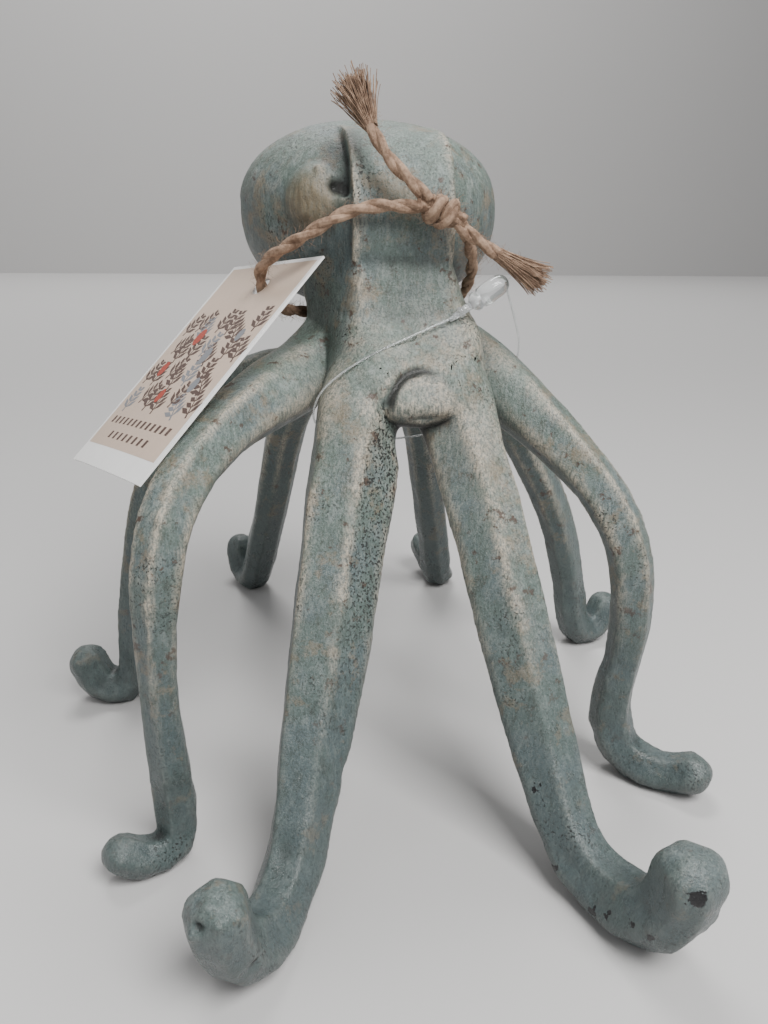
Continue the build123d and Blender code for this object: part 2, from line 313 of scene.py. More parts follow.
class Graph(NodeKit):
    """Shader node tree with short calls for the nodes used here."""

    def __init__(self, name: str) -> None:
        """Start an empty material.

        Args:
            name: name of the material.
        """
        self.material = bpy.data.materials.new(name)
        self.material.use_nodes = True
        super().__init__(self.material.node_tree)
        self.nodes.clear()

    def feed(self, socket: NodeSocket, value: object) -> None:
        """Link a socket to an input, or set it to a constant.

        Args:
            socket: input socket.
            value: output socket or constant.
        """
        if isinstance(value, NodeSocket):
            self.link(value, socket)
        elif isinstance(value, tuple) and len(socket.default_value) == 4:
            socket.default_value = (*value[:3], 1.0)
        else:
            socket.default_value = value

    def coords(self, stretch: Point = (1.0, 1.0, 1.0)) -> NodeSocket:
        """Object coordinates, squeezed along each axis.

        Args:
            stretch: factor on each axis.
        Returns:
            Vector output.
        """
        mapping = self.node("ShaderNodeMapping")
        self.link(self.node("ShaderNodeTexCoord").outputs["Object"], mapping.inputs["Vector"])
        mapping.inputs["Scale"].default_value = stretch
        return mapping.outputs["Vector"]

    def noise(self, vector: NodeSocket, scale: float, detail: float = 4.0,
              roughness: float = 0.6) -> NodeSocket:
        """Noise texture.

        Args:
            vector: coordinates.
            scale: cells per metre.
            detail: octaves.
            roughness: strength of the finer octaves.
        Returns:
            Grey output from 0 to 1.
        """
        made = self.node("ShaderNodeTexNoise")
        self.feed(made.inputs["Vector"], vector)
        self.feed(made.inputs["Scale"], scale)
        self.feed(made.inputs["Detail"], detail)
        self.feed(made.inputs["Roughness"], roughness)
        return made.outputs["Fac"]

    def ramp(self, value: NodeSocket, low: float, high: float, start: float = 0.0,
             end: float = 1.0) -> NodeSocket:
        """Smooth step between two values.

        Args:
            value: input.
            low: input where the step starts.
            high: input where the step ends.
            start: output at the low end.
            end: output at the high end.
        Returns:
            Output between start and end.
        """
        made = self.node("ShaderNodeMapRange", interpolation_type="SMOOTHSTEP")
        self.feed(made.inputs["Value"], value)
        for key, number in (("From Min", low), ("From Max", high), ("To Min", start), ("To Max", end)):
            made.inputs[key].default_value = number
        return made.outputs["Result"]

    def math(self, operation: str, first: object, second: object = 0.0) -> NodeSocket:
        """Arithmetic on two inputs.

        Args:
            operation: Blender's name for it.
            first: first input.
            second: second input.
        Returns:
            Result.
        """
        made = self.node("ShaderNodeMath", operation=operation, use_clamp=operation != "SUBTRACT")
        self.feed(made.inputs[0], first)
        self.feed(made.inputs[1], second)
        return made.outputs[0]

    def times(self, first: object, second: object) -> NodeSocket:
        """Product of two inputs.

        Args:
            first: first input.
            second: second input.
        Returns:
            Result, from 0 to 1.
        """
        return self.math("MULTIPLY", first, second)

    def mix(self, factor: object, first: object, second: object) -> NodeSocket:
        """Blend of two colours.

        Args:
            factor: share of the second colour.
            first: first colour.
            second: second colour.
        Returns:
            Colour output.
        """
        made = self.node("ShaderNodeMix", data_type="RGBA")
        self.feed(made.inputs["Factor"], factor)
        self.feed(made.inputs[6], first)
        self.feed(made.inputs[7], second)
        return made.outputs[2]

    def attribute(self, name: str) -> NodeSocket:
        """Value of a mesh attribute.

        Args:
            name: name of the attribute.
        Returns:
            Factor output.
        """
        return self.node("ShaderNodeAttribute", attribute_name=name).outputs["Fac"]

    def surface(self, colour: object, roughness: object, height: Optional[NodeSocket] = None,
                bump_mm: float = 0.1, **constants: object) -> Material:
        """Finish the tree with one principled surface.

        Args:
            colour: base colour.
            roughness: roughness.
            height: height field for the bump, if any.
            bump_mm: height of the bump.
            constants: further principled inputs by name, with spaces written as underscores.
        Returns:
            The material.
        """
        shader = self.node("ShaderNodeBsdfPrincipled")
        self.feed(shader.inputs["Base Color"], colour)
        self.feed(shader.inputs["Roughness"], roughness)
        for key, value in constants.items():
            shader.inputs[key.replace("_", " ")].default_value = value
        if height is not None:
            bump = self.node("ShaderNodeBump")
            bump.inputs["Distance"].default_value = bump_mm * MM
            self.feed(bump.inputs["Height"], height)
            self.link(bump.outputs["Normal"], shader.inputs["Normal"])
        output = self.node("ShaderNodeOutputMaterial")
        self.link(shader.outputs["BSDF"], output.inputs["Surface"])
        return self.material


@dataclass(frozen=True)
class Coat:
    """A colour laid over the paint where a noise goes from one value to another."""

    noise: str
    bare: float
    full: float
    strength: float
    colour: Colour


@dataclass(frozen=True)
class VerdigrisFinish:
    """Grey-green paint on a hand-filed casting: rubbed ridges, rust, speckle and black chips, with painted
    shade low down, under the arms and in the hollows.
    """

    teal: Colour = (0.108, 0.150, 0.128)
    blue: Colour = (0.104, 0.146, 0.150)
    pale: Colour = (0.250, 0.290, 0.272)
    olive: Colour = (0.052, 0.056, 0.040)
    # Colour of the painted shade on faces that look down and low on the arms.
    shade: Colour = (0.045, 0.062, 0.063)
    cream: Colour = (0.430, 0.375, 0.290)
    tan: Colour = (0.205, 0.150, 0.090)
    eye: Colour = (0.150, 0.118, 0.070)
    rust: Colour = (0.060, 0.030, 0.018)
    # Near-black for the specks, for grime in hollows and for painted shade in undercuts and under faces.
    grime_and_shade: Colour = (0.013, 0.013, 0.012)
    chip: Colour = (0.004, 0.004, 0.005)
    drawn_stretch: Point = (1.0, 1.0, 0.4)
    streak_stretch: Point = (1.0, 1.0, 0.22)
    chip_edge_mm: float = 0.8
    bump_mm: float = 0.28
    chips_mm: tuple[tuple[Point, float], ...] = (
        ((19.4, -67.9, 20.7), 1.5), ((20.0, -69.7, 17.9), 1.2), ((21.9, -75.6, 6.5), 0.9),
        ((25.5, -86.0, 4.7), 1.0), ((26.5, -89.0, 6.9), 0.8), ((28.6, -94.3, 9.7), 0.9),
        ((30.4, -98.2, 10.4), 0.7), ((34.7, -103.0, 23.6), 1.7), ((-41.0, -91.0, 11.8), 0.9),
    )

    def coats(self) -> tuple[Coat, ...]:
        """Pale and dark flecks over the ground colour, from broad to fine.

        Returns:
            The coats in the order in which they are laid.
        """
        return (
            Coat("mottle", 0.51, 0.65, 0.60, self.pale), Coat("mottle", 0.47, 0.35, 0.60, self.olive),
            Coat("streaks", 0.53, 0.67, 0.50, self.pale), Coat("streaks", 0.46, 0.34, 0.55, self.olive),
            Coat("grain", 0.53, 0.67, 0.45, self.pale), Coat("grain", 0.46, 0.33, 0.65, self.olive),
        )

    def material(self) -> Material:
        """Build the paint.

        Returns:
            The material.
        """
        graph = Graph("verdigris")
        plain = graph.coords()
        noises = {
            "cloud": graph.noise(plain, 75.0, 5.0, 0.62),
            "mottle": graph.noise(graph.coords(self.drawn_stretch), 380.0, 6.0, 0.72),
            "streaks": graph.noise(graph.coords(self.streak_stretch), 1900.0, 4.0, 0.66),
            "grain": graph.noise(plain, 2600.0, 3.0, 0.7),
        }
        foot = graph.attribute("foot")
        colour = self._ground(graph, noises, foot)
        colour = self._worn(graph, noises, foot, plain, colour)
        specks = self._specks(graph, plain)
        chips = self._chips(graph, plain)
        # Grime in hollows, with painted shade in the undercut of the crotch, the groove, the pit and on faces
        # that look down.
        colour = graph.mix(graph.times(graph.attribute("hollow_grime_and_shade"), 0.92), colour, self.grime_and_shade)
        colour = graph.mix(specks, colour, self.grime_and_shade)
        colour = graph.mix(chips, colour, self.chip)
        rough = graph.ramp(noises["mottle"], 0.3, 0.7, 0.34, 0.56)
        height = graph.math("ADD", graph.times(noises["streaks"], 0.5), graph.times(noises["grain"], 0.5))
        for mask, gloss, depth in ((foot, 0.16, 0.0), (chips, 0.2, 0.5), (specks, 0.0, 0.4)):
            rough = graph.math("SUBTRACT", rough, graph.times(mask, gloss))
            height = graph.math("SUBTRACT", height, graph.times(mask, depth))
        return graph.surface(colour, rough, height, bump_mm=self.bump_mm)

    def _ground(self, graph: Graph, noises: dict[str, NodeSocket],
                foot: NodeSocket) -> NodeSocket:
        """Grey-green ground, flecked, with painted shade low down and on faces that look down.

        Args:
            graph: tree that the nodes go in.
            noises: noises by name.
            foot: 1 at the floor, falling off upwards.
        Returns:
            Colour output.
        """
        patches = graph.ramp(noises["cloud"], 0.44, 0.62, 0.0, 0.9)
        bluish = graph.math("ADD", patches, graph.times(foot, 0.5))
        colour = graph.mix(bluish, self.teal, self.blue)
        for coat in self.coats():
            share = graph.ramp(noises[coat.noise], coat.bare, coat.full, 0.0, coat.strength)
            colour = graph.mix(share, colour, coat.colour)
        # Painted shade: faces that look down, and the arms towards the floor, are darkened to the shade
        # colour.
        for mask, strength in ((graph.attribute("shade"), 0.6), (foot, 0.72)):
            colour = graph.mix(graph.times(mask, strength), colour, self.shade)
        return colour

    def _worn(self, graph: Graph, noises: dict[str, NodeSocket], foot: NodeSocket,
              plain: NodeSocket, colour: NodeSocket) -> NodeSocket:
        """Tan stains, cream ridges, the eyes and rust, over the ground.

        Args:
            graph: tree that the nodes go in.
            noises: noises by name.
            foot: 1 at the floor, falling off upwards.
            plain: object coordinates.
            colour: the ground.
        Returns:
            Colour output.
        """
        stain = graph.ramp(graph.noise(plain, 110.0, 6.0, 0.74), 0.51, 0.64, 0.0, 0.70)
        stain = graph.math("SUBTRACT", stain, graph.times(foot, 0.5))
        stain = graph.times(stain, graph.ramp(noises["grain"], 0.3, 0.6, 0.3, 1.0))
        colour = graph.mix(stain, colour, self.tan)
        rubbed = graph.attribute("wear")
        broken = (("streaks", 0.36, 0.60, 0.25), ("grain", 0.32, 0.58, 0.35), ("cloud", 0.38, 0.56, 0.20))
        for name, low, high, least in broken:
            rubbed = graph.times(rubbed, graph.ramp(noises[name], low, high, least, 1.0))
        rubbed = graph.times(rubbed, graph.ramp(foot, 0.1, 0.65, 1.0, 0.1))
        colour = graph.mix(rubbed, colour, self.cream)
        eye = graph.times(graph.attribute("eye"), graph.ramp(noises["streaks"], 0.3, 0.6, 0.55, 0.95))
        colour = graph.mix(eye, colour, self.eye)
        rust = graph.ramp(graph.noise(plain, 260.0, 5.0, 0.70), 0.595, 0.66, 0.0, 0.85)
        return graph.mix(graph.times(rust, graph.ramp(foot, 0.0, 1.0, 1.0, 0.2)), colour, self.rust)

    def _specks(self, graph: Graph, plain: NodeSocket) -> NodeSocket:
        """Mask of dark specks, thick on the pitted face and in loose clusters elsewhere.

        Args:
            graph: tree that the nodes go in.
            plain: object coordinates.
        Returns:
            1 in a speck and 0 outside.
        """
        pitted = graph.attribute("pitted")
        cluster = graph.ramp(graph.noise(plain, 48.0, 3.0, 0.5), 0.54, 0.66, 0.0, 0.7)
        cluster = graph.math("ADD", graph.math("ADD", cluster, 0.28), pitted)
        pocked = graph.node("ShaderNodeMath", operation="MULTIPLY_ADD")
        for socket, value in zip(pocked.inputs, (pitted, 0.055, graph.noise(plain, 1800.0, 2.0, 0.55))):
            graph.feed(socket, value)
        return graph.times(graph.ramp(pocked.outputs[0], 0.58, 0.62, 0.0, 0.95), cluster)

    def _chips(self, graph: Graph, plain: NodeSocket) -> NodeSocket:
        """Mask of the places where the paint is chipped to black.

        Args:
            graph: tree that the nodes go in.
            plain: object coordinates.
        Returns:
            1 inside a chip and 0 outside.
        """
        edge_width = self.chip_edge_mm * MM
        ragged = graph.ramp(graph.noise(plain, 700.0, 3.0, 0.6), 0.2, 0.8, -edge_width, edge_width)
        mask: object = 0.0
        for centre_mm, radius_mm in self.chips_mm:
            gap = graph.node("ShaderNodeVectorMath", operation="DISTANCE")
            graph.feed(gap.inputs[0], plain)
            gap.inputs[1].default_value = Vector(centre_mm) * MM
            edge = graph.node("ShaderNodeMath", operation="ADD")
            graph.feed(edge.inputs[0], gap.outputs["Value"])
            graph.feed(edge.inputs[1], ragged)
            radius = radius_mm * MM
            spot = graph.ramp(edge.outputs[0], radius * 0.9, radius * 1.05, 1.0, 0.0)
            mask = graph.math("MAXIMUM", spot, mask)
        return mask


@dataclass(frozen=True)
class JuteFinish:
    """Dry, hairy jute."""

    light: Colour = (0.400, 0.270, 0.185)
    dark: Colour = (0.150, 0.088, 0.055)

    def material(self) -> Material:
        """Build the fibre.

        Returns:
            The material.
        """
        graph = Graph("jute")
        plain = graph.coords()
        tone = graph.noise(plain, 420.0, 5.0, 0.7)
        colour = graph.mix(graph.ramp(tone, 0.3, 0.7), self.dark, self.light)
        return graph.surface(colour, 0.9, graph.noise(plain, 2600.0, 3.0, 0.6), bump_mm=0.12)


@dataclass(frozen=True)
class PlainFinish:
    """One even colour, as of card stock or printing ink."""

    name: str
    colour: Colour
    roughness: float = 0.5

    def material(self) -> Material:
        """Build the plain surface.

        Returns:
            The material.
        """
        graph = Graph(self.name)
        shade = graph.ramp(graph.noise(graph.coords(), 260.0, 3.0, 0.6), 0.2, 0.8, 0.0, 0.25)
        darker = tuple(0.82 * part for part in self.colour)
        return graph.surface(graph.mix(shade, self.colour, darker), self.roughness)


@dataclass(frozen=True)
class ClearFinish:
    """Clear moulded plastic."""

    colour: Colour = (0.93, 0.95, 0.95)
    roughness: float = 0.12

    def material(self) -> Material:
        """Build the clear plastic.

        Returns:
            The material.
        """
        graph = Graph("clear plastic")
        return graph.surface(self.colour, self.roughness, Transmission_Weight=0.82, IOR=1.45)


@dataclass(frozen=True)
class FloorFinish:
    """Pale matt floor."""

    colour: Colour = (0.52, 0.51, 0.50)

    def material(self) -> Material:
        """Build the floor.

        Returns:
            The material.
        """
        return Graph("pale floor").surface(self.colour, 0.8)


@dataclass
class SurfaceNet:
    """Vertices and quads of a surface, with the sums that smoothing needs."""

    points: np.ndarray
    quads: np.ndarray

    def __post_init__(self) -> None:
        """Work out the edges of the quads."""
        rims = np.concatenate([self.quads[:, [i, (i + 1) % 4]] for i in range(4)])
        self.edges = np.unique(np.sort(rims, axis=1), axis=0)
        self.counts = np.bincount(self.edges.ravel(), minlength=len(self.points)).astype(float)

    def neighbour_mean(self, values: np.ndarray) -> np.ndarray:
        """Mean of the neighbours of each vertex.

        Args:
            values: array with one row per vertex.
        Returns:
            Array of the same shape.
        """
        table = values.reshape(len(values), -1)
        total = np.empty_like(table)
        first, second = self.edges.T
        for column in range(table.shape[1]):
            total[:, column] = np.bincount(first, table[second, column], len(table))
            total[:, column] += np.bincount(second, table[first, column], len(table))
        return (total / self.counts[:, None]).reshape(values.shape)

    def smoothed(self, values: np.ndarray, rounds: int, weight: object = 0.5) -> np.ndarray:
        """Values drawn towards the mean of their neighbours.

        Args:
            values: array with one row per vertex.
            rounds: number of passes.
            weight: share of the mean in each pass, one value or one per vertex.
        Returns:
            Array of the same shape.
        """
        for _ in range(rounds):
            values = values + (self.neighbour_mean(values) - values) * weight
        return values

    def normals(self) -> np.ndarray:
        """Vertex normals.

        Returns:
            Array of shape (count, 3).
        """
        corners = self.points[self.quads]
        face = np.cross(corners[:, 2] - corners[:, 0], corners[:, 3] - corners[:, 1])
        total = np.zeros_like(self.points)
        for corner in range(4):
            for axis in range(3):
                total[:, axis] += np.bincount(self.quads[:, corner], face[:, axis], len(self.points))
        return unit(total)


@dataclass(frozen=True)
class Spot:
    """Round place on the casting with a soft edge, and how far the surface rises there."""

    centre_mm: Point
    reach_mm: float
    rise_mm: float = 0.0

    def mask(self, points: np.ndarray, widen: float = 1.0) -> np.ndarray:
        """Soft mask round the place.

        Args:
            points: places to test, in metres.
            widen: factor on the reach.
        Returns:
            1 at the middle, falling off to 0.
        """
        gap = np.linalg.norm(points - np.array(self.centre_mm) * MM, axis=1)
        return np.exp(-((gap / (widen * self.reach_mm * MM)) ** 2))


@dataclass(frozen=True)
class Stripe:
    """Straight stripe on the casting, even inside and soft at the rim."""

    start_mm: Point
    end_mm: Point
    reach_mm: float

    def mask(self, points: np.ndarray) -> np.ndarray:
        """Soft mask round the stripe.

        Args:
            points: places to test, in metres.
        Returns:
            1 on the stripe, falling off to 0.
        """
        start, end = metres((self.start_mm, self.end_mm))
        share = np.clip((points - start) @ (end - start) / np.sum((end - start) ** 2), 0.0, 1.0)
        gap = np.linalg.norm(points - start - np.outer(share, end - start), axis=1)
        return np.exp(-((gap / (self.reach_mm * MM)) ** 4))


@dataclass(frozen=True)
class Relief:
    """Uneven rise of the surface from value noise."""

    rise_mm: float
    scale: float
    seed: int

    def at(self, points: np.ndarray) -> np.ndarray:
        """Noise at some places.

        Args:
            points: places in metres.
        Returns:
            One value from -1 to 1 per place.
        """
        return lattice_noise(points, self.scale, self.seed)

    def rise(self, points: np.ndarray) -> np.ndarray:
        """Rise at some places.

        Args:
            points: places in metres.
        Returns:
            One rise in millimetres per place.
        """
        return self.rise_mm * self.at(points)


@dataclass
class Casting:
    """The head and its eight arms: one smooth painted surface, cut into its nine castings."""

    finish: VerdigrisFinish
    voxel_mm: float = 0.55
    label_voxel_mm: float = 1.6
    seat_radius_mm: float = 24.0
    seat_height_mm: float = 99.0
    seat_blend_mm: float = 11.0
    seat_pull: float = 0.6
    seat_rounds: int = 80
    ridge_rounds: int = 2
    broad_rounds: int = 26
    foot_height_mm: float = 80.0
    sole_height_mm: float = 2.0
    file_waves: Relief = Relief(0.26, 120.0, 3)
    dents: Relief = Relief(0.26, 260.0, 5)
    dent_share: float = 0.25
    grain: Relief = Relief(0.05, 1100.0, 7)
    chasing: Relief = Relief(0.42, 210.0, 19)
    chased_height_mm: float = 34.0
    siphon: Spot = Spot((1.2, -31.0, 96.5), 9.5)
    siphon_face: Spot = Spot((1.2, -31.0, 96.5), 7.2)
    siphon_top_mm: float = 97.5
    lip_fade_mm: float = 3.0
    crotch: Spot = Spot((1.2, -29.0, 90.0), 6.5)
    groove_mm: float = 0.9
    groove_width_mm: float = 0.8
    flares: tuple[Spot, ...] = (
        Spot((-15.0, -25.0, 99.0), 13.0, 3.2), Spot((18.5, -24.0, 103.0), 14.0, 3.4),
    )
    apron_low_mm: float = 95.0
    apron_full_mm: float = 103.0
    apron_high_mm: float = 114.0
    apron_front_mm: float = -23.2
    apron_slope: float = 0.68
    apron_half_mm: float = 8.0
    apron_foot_share: float = 0.45
    widen_heights_mm: tuple[float, ...] = (12.0, 30.0, 45.0, 78.0, 102.0)
    widen_shares: tuple[float, ...] = (0.0, 0.24, 0.32, 0.38, 0.0)
    widen_axes_mm: tuple[tuple[float, float], ...] = ((-32.4, 0.2285), (23.0, -0.190))
    widen_reach_mm: float = 13.0
    widen_fade_mm: float = 3.0
    widen_front_mm: float = -22.0
    widen_front_fade_mm: float = 4.0
    rub: Spot = Spot((2.0, -27.0, 100.0), 17.0)
    rub_stripes: tuple[Stripe, ...] = (
        Stripe((13.5, -36.0, 94.0), (23.5, -66.0, 42.0), 5.5),
        Stripe((-7.5, -36.0, 92.0), (-14.0, -52.0, 66.0), 2.6),
    )
    pitted: Stripe = Stripe((-4.0, -33.0, 91.0), (-14.0, -60.0, 46.0), 9.0)
    eyes_mm: tuple[Point, Point] = ((-20.8, -14.7, 138.0), (31.1, 23.0, 138.5))
    eye_reach_mm: float = 6.6
    eye_across: tuple[float, float] = (0.84, -0.54)
    eye_fold_mm: float = 0.2
    eye_pitch_mm: float = 0.25
    eye_drift: Relief = Relief(1.6, 190.0, 13)
    eye_breaks: Relief = Relief(1.0, 300.0, 9)
    eye_break_share: float = 0.7
    eye_pucker: Relief = Relief(0.3, 420.0, 17)
    bead: Spot = Spot((-18.2, -13.8, 144.6), 0.9, 1.3)
    bead_widen: float = 1.6
    pit: Spot = Spot((-15.1, -15.9, 141.4), 1.5, -1.6)
    knobs: tuple[Spot, ...] = (
        Spot((-48.1, -91.0, 26.2), 1.2, 0.9), Spot((-49.4, -91.8, 24.9), 0.9, 0.7),
        Spot((-46.6, -93.5, 24.2), 0.9, 0.8), Spot((-51.1, -91.8, 21.3), 1.0, 0.6),
        Spot((-50.1, -92.0, 23.2), 1.0, -1.1), Spot((-46.5, -90.4, 26.8), 0.8, -0.6),
        Spot((-41.0, -91.0, 11.8), 1.4, -0.8),
    )

    def build(self) -> list[Object]:
        """Make the nine pieces and hand them to the frame.

        Returns:
            The pieces, head first.
        """
        net = self._union()
        net.points = self._blend_seats(net)
        net.points = self._dress(net)
        normals = net.normals()
        fields = self._fields(net, normals)
        labels = self._labels(net)
        material = self.finish.material()
        pieces = []
        for index, node in enumerate(CASTING_NODES):
            mesh = self._cut(node, net, normals, fields, labels == index)
            mesh.materials.append(material)
            pieces.append(place(f"{node}_look", mesh, Body.FIGURINE, [node]))
        return pieces

    def _node_mesh(self, node: str) -> Mesh:
        """Copy of a CAD node's mesh with its doubles merged.

        Args:
            node: name of the CAD node.
        Returns:
            The merged copy.
        """
        work = bmesh.new()
        work.from_mesh(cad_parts[node].data)
        bmesh.ops.remove_doubles(work, verts=work.verts, dist=1e-6)
        copy = bpy.data.meshes.new(node)
        work.to_mesh(copy)
        work.free()
        return copy

    def _remesh(self, mesh: Mesh, voxel_mm: float) -> Mesh:
        """Even quads over a closed mesh.

        Args:
            mesh: closed mesh, or several that touch.
            voxel_mm: size of the quads.
        Returns:
            A new mesh.
        """
        holder = new_object("remesh", mesh)
        modifier = holder.modifiers.new("even quads", "REMESH")
        modifier.mode = "VOXEL"
        modifier.voxel_size = voxel_mm * MM
        result = evaluated_mesh(holder)
        bpy.data.objects.remove(holder)
        return result

    def _union(self) -> SurfaceNet:
        """One surface round all nine castings.

        Returns:
            The surface.
        """
        castings = joined_mesh("castings", [self._node_mesh(node) for node in CASTING_NODES])
        mesh = self._remesh(castings, self.voxel_mm)
        points = np.empty(len(mesh.vertices) * 3)
        mesh.vertices.foreach_get("co", points)
        corners = np.empty(len(mesh.loops), dtype=np.int64)
        mesh.loops.foreach_get("vertex_index", corners)
        return SurfaceNet(points.reshape(-1, 3), corners.reshape(-1, 4))

    def _blend_seats(self, net: SurfaceNet) -> np.ndarray:
        """Round the joints of arms and head, and ease every ridge a little.

        Args:
            net: surface of the castings.
        Returns:
            New vertex places.
        """
        level = np.linalg.norm(net.points[:, :2], axis=1) - self.seat_radius_mm * MM
        rise = net.points[:, 2] - self.seat_height_mm * MM
        near = np.exp(-(level**2 + rise**2) / (self.seat_blend_mm * MM) ** 2)
        lip = np.clip((self.siphon_top_mm * MM - net.points[:, 2]) / (self.lip_fade_mm * MM), 0.0, 1.0)
        near *= 1.0 - lip * self.siphon.mask(net.points)
        blended = net.smoothed(self._apron(net.points), self.seat_rounds, (self.seat_pull * near)[:, None])
        return net.smoothed(self._widen(blended), self.ridge_rounds)

    def _apron(self, points: np.ndarray) -> np.ndarray:
        """Slope the foot of the neck forward to the face of the siphon.

        Args:
            points: places on the surface.
        Returns:
            New vertex places.
        """
        aside, front, height = (points / MM).T
        target = self.apron_front_mm - self.apron_slope * (self.apron_high_mm - height)
        rising = np.interp(height, (self.apron_low_mm, self.apron_full_mm), (self.apron_foot_share, 1.0))
        gap = np.abs(aside - self.siphon.centre_mm[0])
        spread = np.clip(2.0 - gap / (self.apron_half_mm * rising), 0.0, 1.0)
        inside = (height > self.apron_low_mm) & (height < self.apron_high_mm) & (front < 0.0)
        moved = points.copy()
        moved[:, 1] += np.where(inside, spread * np.minimum(0.0, target - front), 0.0) * MM
        return moved

    def _widen(self, points: np.ndarray) -> np.ndarray:
        """Widen the two front arms towards their roots.

        Args:
            points: places on the surface.
        Returns:
            New vertex places.
        """
        aside, front, height = (points / MM).T
        share = np.interp(height, self.widen_heights_mm, self.widen_shares)
        share *= np.clip((self.widen_front_mm - front) / self.widen_front_fade_mm, 0.0, 1.0)
        share *= 1.0 - self.siphon_face.mask(points)
        moved = points.copy()
        for foot_mm, lean in self.widen_axes_mm:
            gap = aside - (foot_mm + lean * height)
            near = np.clip((self.widen_reach_mm - np.abs(gap)) / self.widen_fade_mm, 0.0, 1.0)
            moved[:, 0] += share * near * gap * MM
        return moved

    def _dress(self, net: SurfaceNet) -> np.ndarray:
        """File waves, dents, grain, chasing on the feet, knobs and the details of the eyes.

        Args:
            net: surface of the castings.
        Returns:
            New vertex places.
        """
        points = net.points
        normals = net.smoothed(net.normals(), 2)
        rise = self.file_waves.rise(points)
        rise += self.dents.rise_mm * np.minimum(0.0, self.dents.at(points) + self.dent_share)
        rise += self.grain.rise(points)
        low = np.clip(1.0 - points[:, 2] / (self.chased_height_mm * MM), 0.0, 1.0)
        rise += np.minimum(1.0, 2.0 * low) * self.chasing.rise(points)
        rise -= self.groove_mm * self._groove(points)
        for spot in (*self.knobs, *self.flares):
            rise += spot.rise_mm * spot.mask(points)
        eye = self._eyes(points)
        across = points[:, :2] @ np.array(self.eye_across) + self.eye_drift.rise(points) * MM
        broken = 1.0 - self.eye_break_share + self.eye_break_share * np.abs(self.eye_breaks.at(points))
        rise += self.eye_fold_mm * eye * np.sin(across / (self.eye_pitch_mm * MM)) * broken
        rise += eye * self.eye_pucker.rise(points)
        for spot in (self.bead, self.pit):
            rise += spot.rise_mm * spot.mask(points)
        floor = np.clip(points[:, 2] / (self.sole_height_mm * MM), 0.0, 1.0)
        return points + normals * (rise * floor * MM)[:, None]

    def _eyes(self, points: np.ndarray) -> np.ndarray:
        """Mask of the two eyes, even inside and soft at the rim.

        Args:
            points: places to test, in metres.
        Returns:
            1 on an eye, falling off to 0.
        """
        gaps = [np.linalg.norm(points - np.array(eye) * MM, axis=1) for eye in self.eyes_mm]
        return np.exp(-((np.minimum(*gaps) / (self.eye_reach_mm * MM)) ** 4))

    def _groove(self, points: np.ndarray) -> np.ndarray:
        """Soft mask along the arched groove over the siphon, deepest on its left.

        Args:
            points: places to test, in metres.
        Returns:
            1 in the groove, falling off to 0.
        """
        radius = self.siphon_face.reach_mm
        aside, front, rise = ((points - np.array(self.siphon_face.centre_mm) * MM) / MM).T
        ring = np.exp(-(((np.hypot(aside, rise) - radius) / self.groove_width_mm) ** 2))
        upper = np.clip((rise + 1.0) / 2.0, 0.0, 1.0)
        left = np.clip(0.75 - aside / 6.0, 0.15, 1.0)
        return ring * upper * left * (np.abs(front) < radius)

    def _fields(self, net: SurfaceNet, normals: np.ndarray) -> dict[str, np.ndarray]:
        """Where the paint is rubbed, where grime and painted shade darken hollows and undersides, and the
        other fields of the paint.

        Args:
            net: surface of the castings.
            normals: its vertex normals.
        Returns:
            One value from 0 to 1 per vertex, by name.
        """
        points = net.points
        _, ahead, upward = normals.T
        broad = net.smoothed(points, self.broad_rounds)
        stand = net.smoothed(np.einsum("ij,ij->i", points - broad, normals) / MM, 2)
        outer = np.clip(upward * 0.6 - 0.25 * ahead - 0.1, 0.0, 1.0)
        rub = self.rub.mask(points)
        for stripe in self.rub_stripes:
            rub += 0.8 * stripe.mask(points)
        wear = np.clip(stand / 0.26 - 0.15, 0.0, 1.0) + 0.2 * outer
        wear += self.bead.mask(points, self.bead_widen)
        wear += 0.6 * rub * np.clip(0.5 * upward - 0.8 * ahead, 0.0, 1.0)
        # Painted shade on faces that look down.
        underside_shade = np.clip(-upward - 0.35, 0.0, 1.0)
        # Grime in hollows, and painted shade in the pit, the groove over the siphon and the undercut of the
        # crotch.
        hollow_grime_and_shade = np.clip(-stand / 0.42, 0.0, 1.0) + self.pit.mask(points) + 0.5 * underside_shade
        hollow_grime_and_shade += 1.3 * self._groove(points)
        hollow_grime_and_shade += 3.0 * np.clip(0.2 - upward, 0.0, 1.0) * self.crotch.mask(points)
        fields = {
            "wear": wear,
            "hollow_grime_and_shade": hollow_grime_and_shade,
            "eye": self._eyes(points),
            "pitted": self.pitted.mask(points) * np.clip(1.6 * normals[:, 0] - 0.1, 0.0, 1.0),
            # Height share: painted shade low on the arms, and bluer, glossier paint with less stain, wear and
            # rust there.
            "foot": 1.0 - points[:, 2] / (self.foot_height_mm * MM),
            # Painted shade on faces that look down.
            "shade": 0.55 - 1.1 * net.smoothed(normals, 4)[:, 2],
        }
        return {name: np.clip(values, 0.0, 1.0) for name, values in fields.items()}

    def _labels(self, net: SurfaceNet) -> np.ndarray:
        """Which casting each quad belongs to.

        Args:
            net: surface of the castings.
        Returns:
            Index into CASTING_NODES, one per quad.
        """
        clouds = [self._remesh(self._node_mesh(node), self.label_voxel_mm) for node in CASTING_NODES]
        tree = KDTree(sum(len(cloud.vertices) for cloud in clouds))
        owners: list[int] = []
        for index, cloud in enumerate(clouds):
            for vertex in cloud.vertices:
                tree.insert(vertex.co, len(owners))
                owners.append(index)
        tree.balance()
        middles = net.points[net.quads].mean(axis=1)
        found = [owners[tree.find(middle)[1]] for middle in middles]
        return np.array(found)

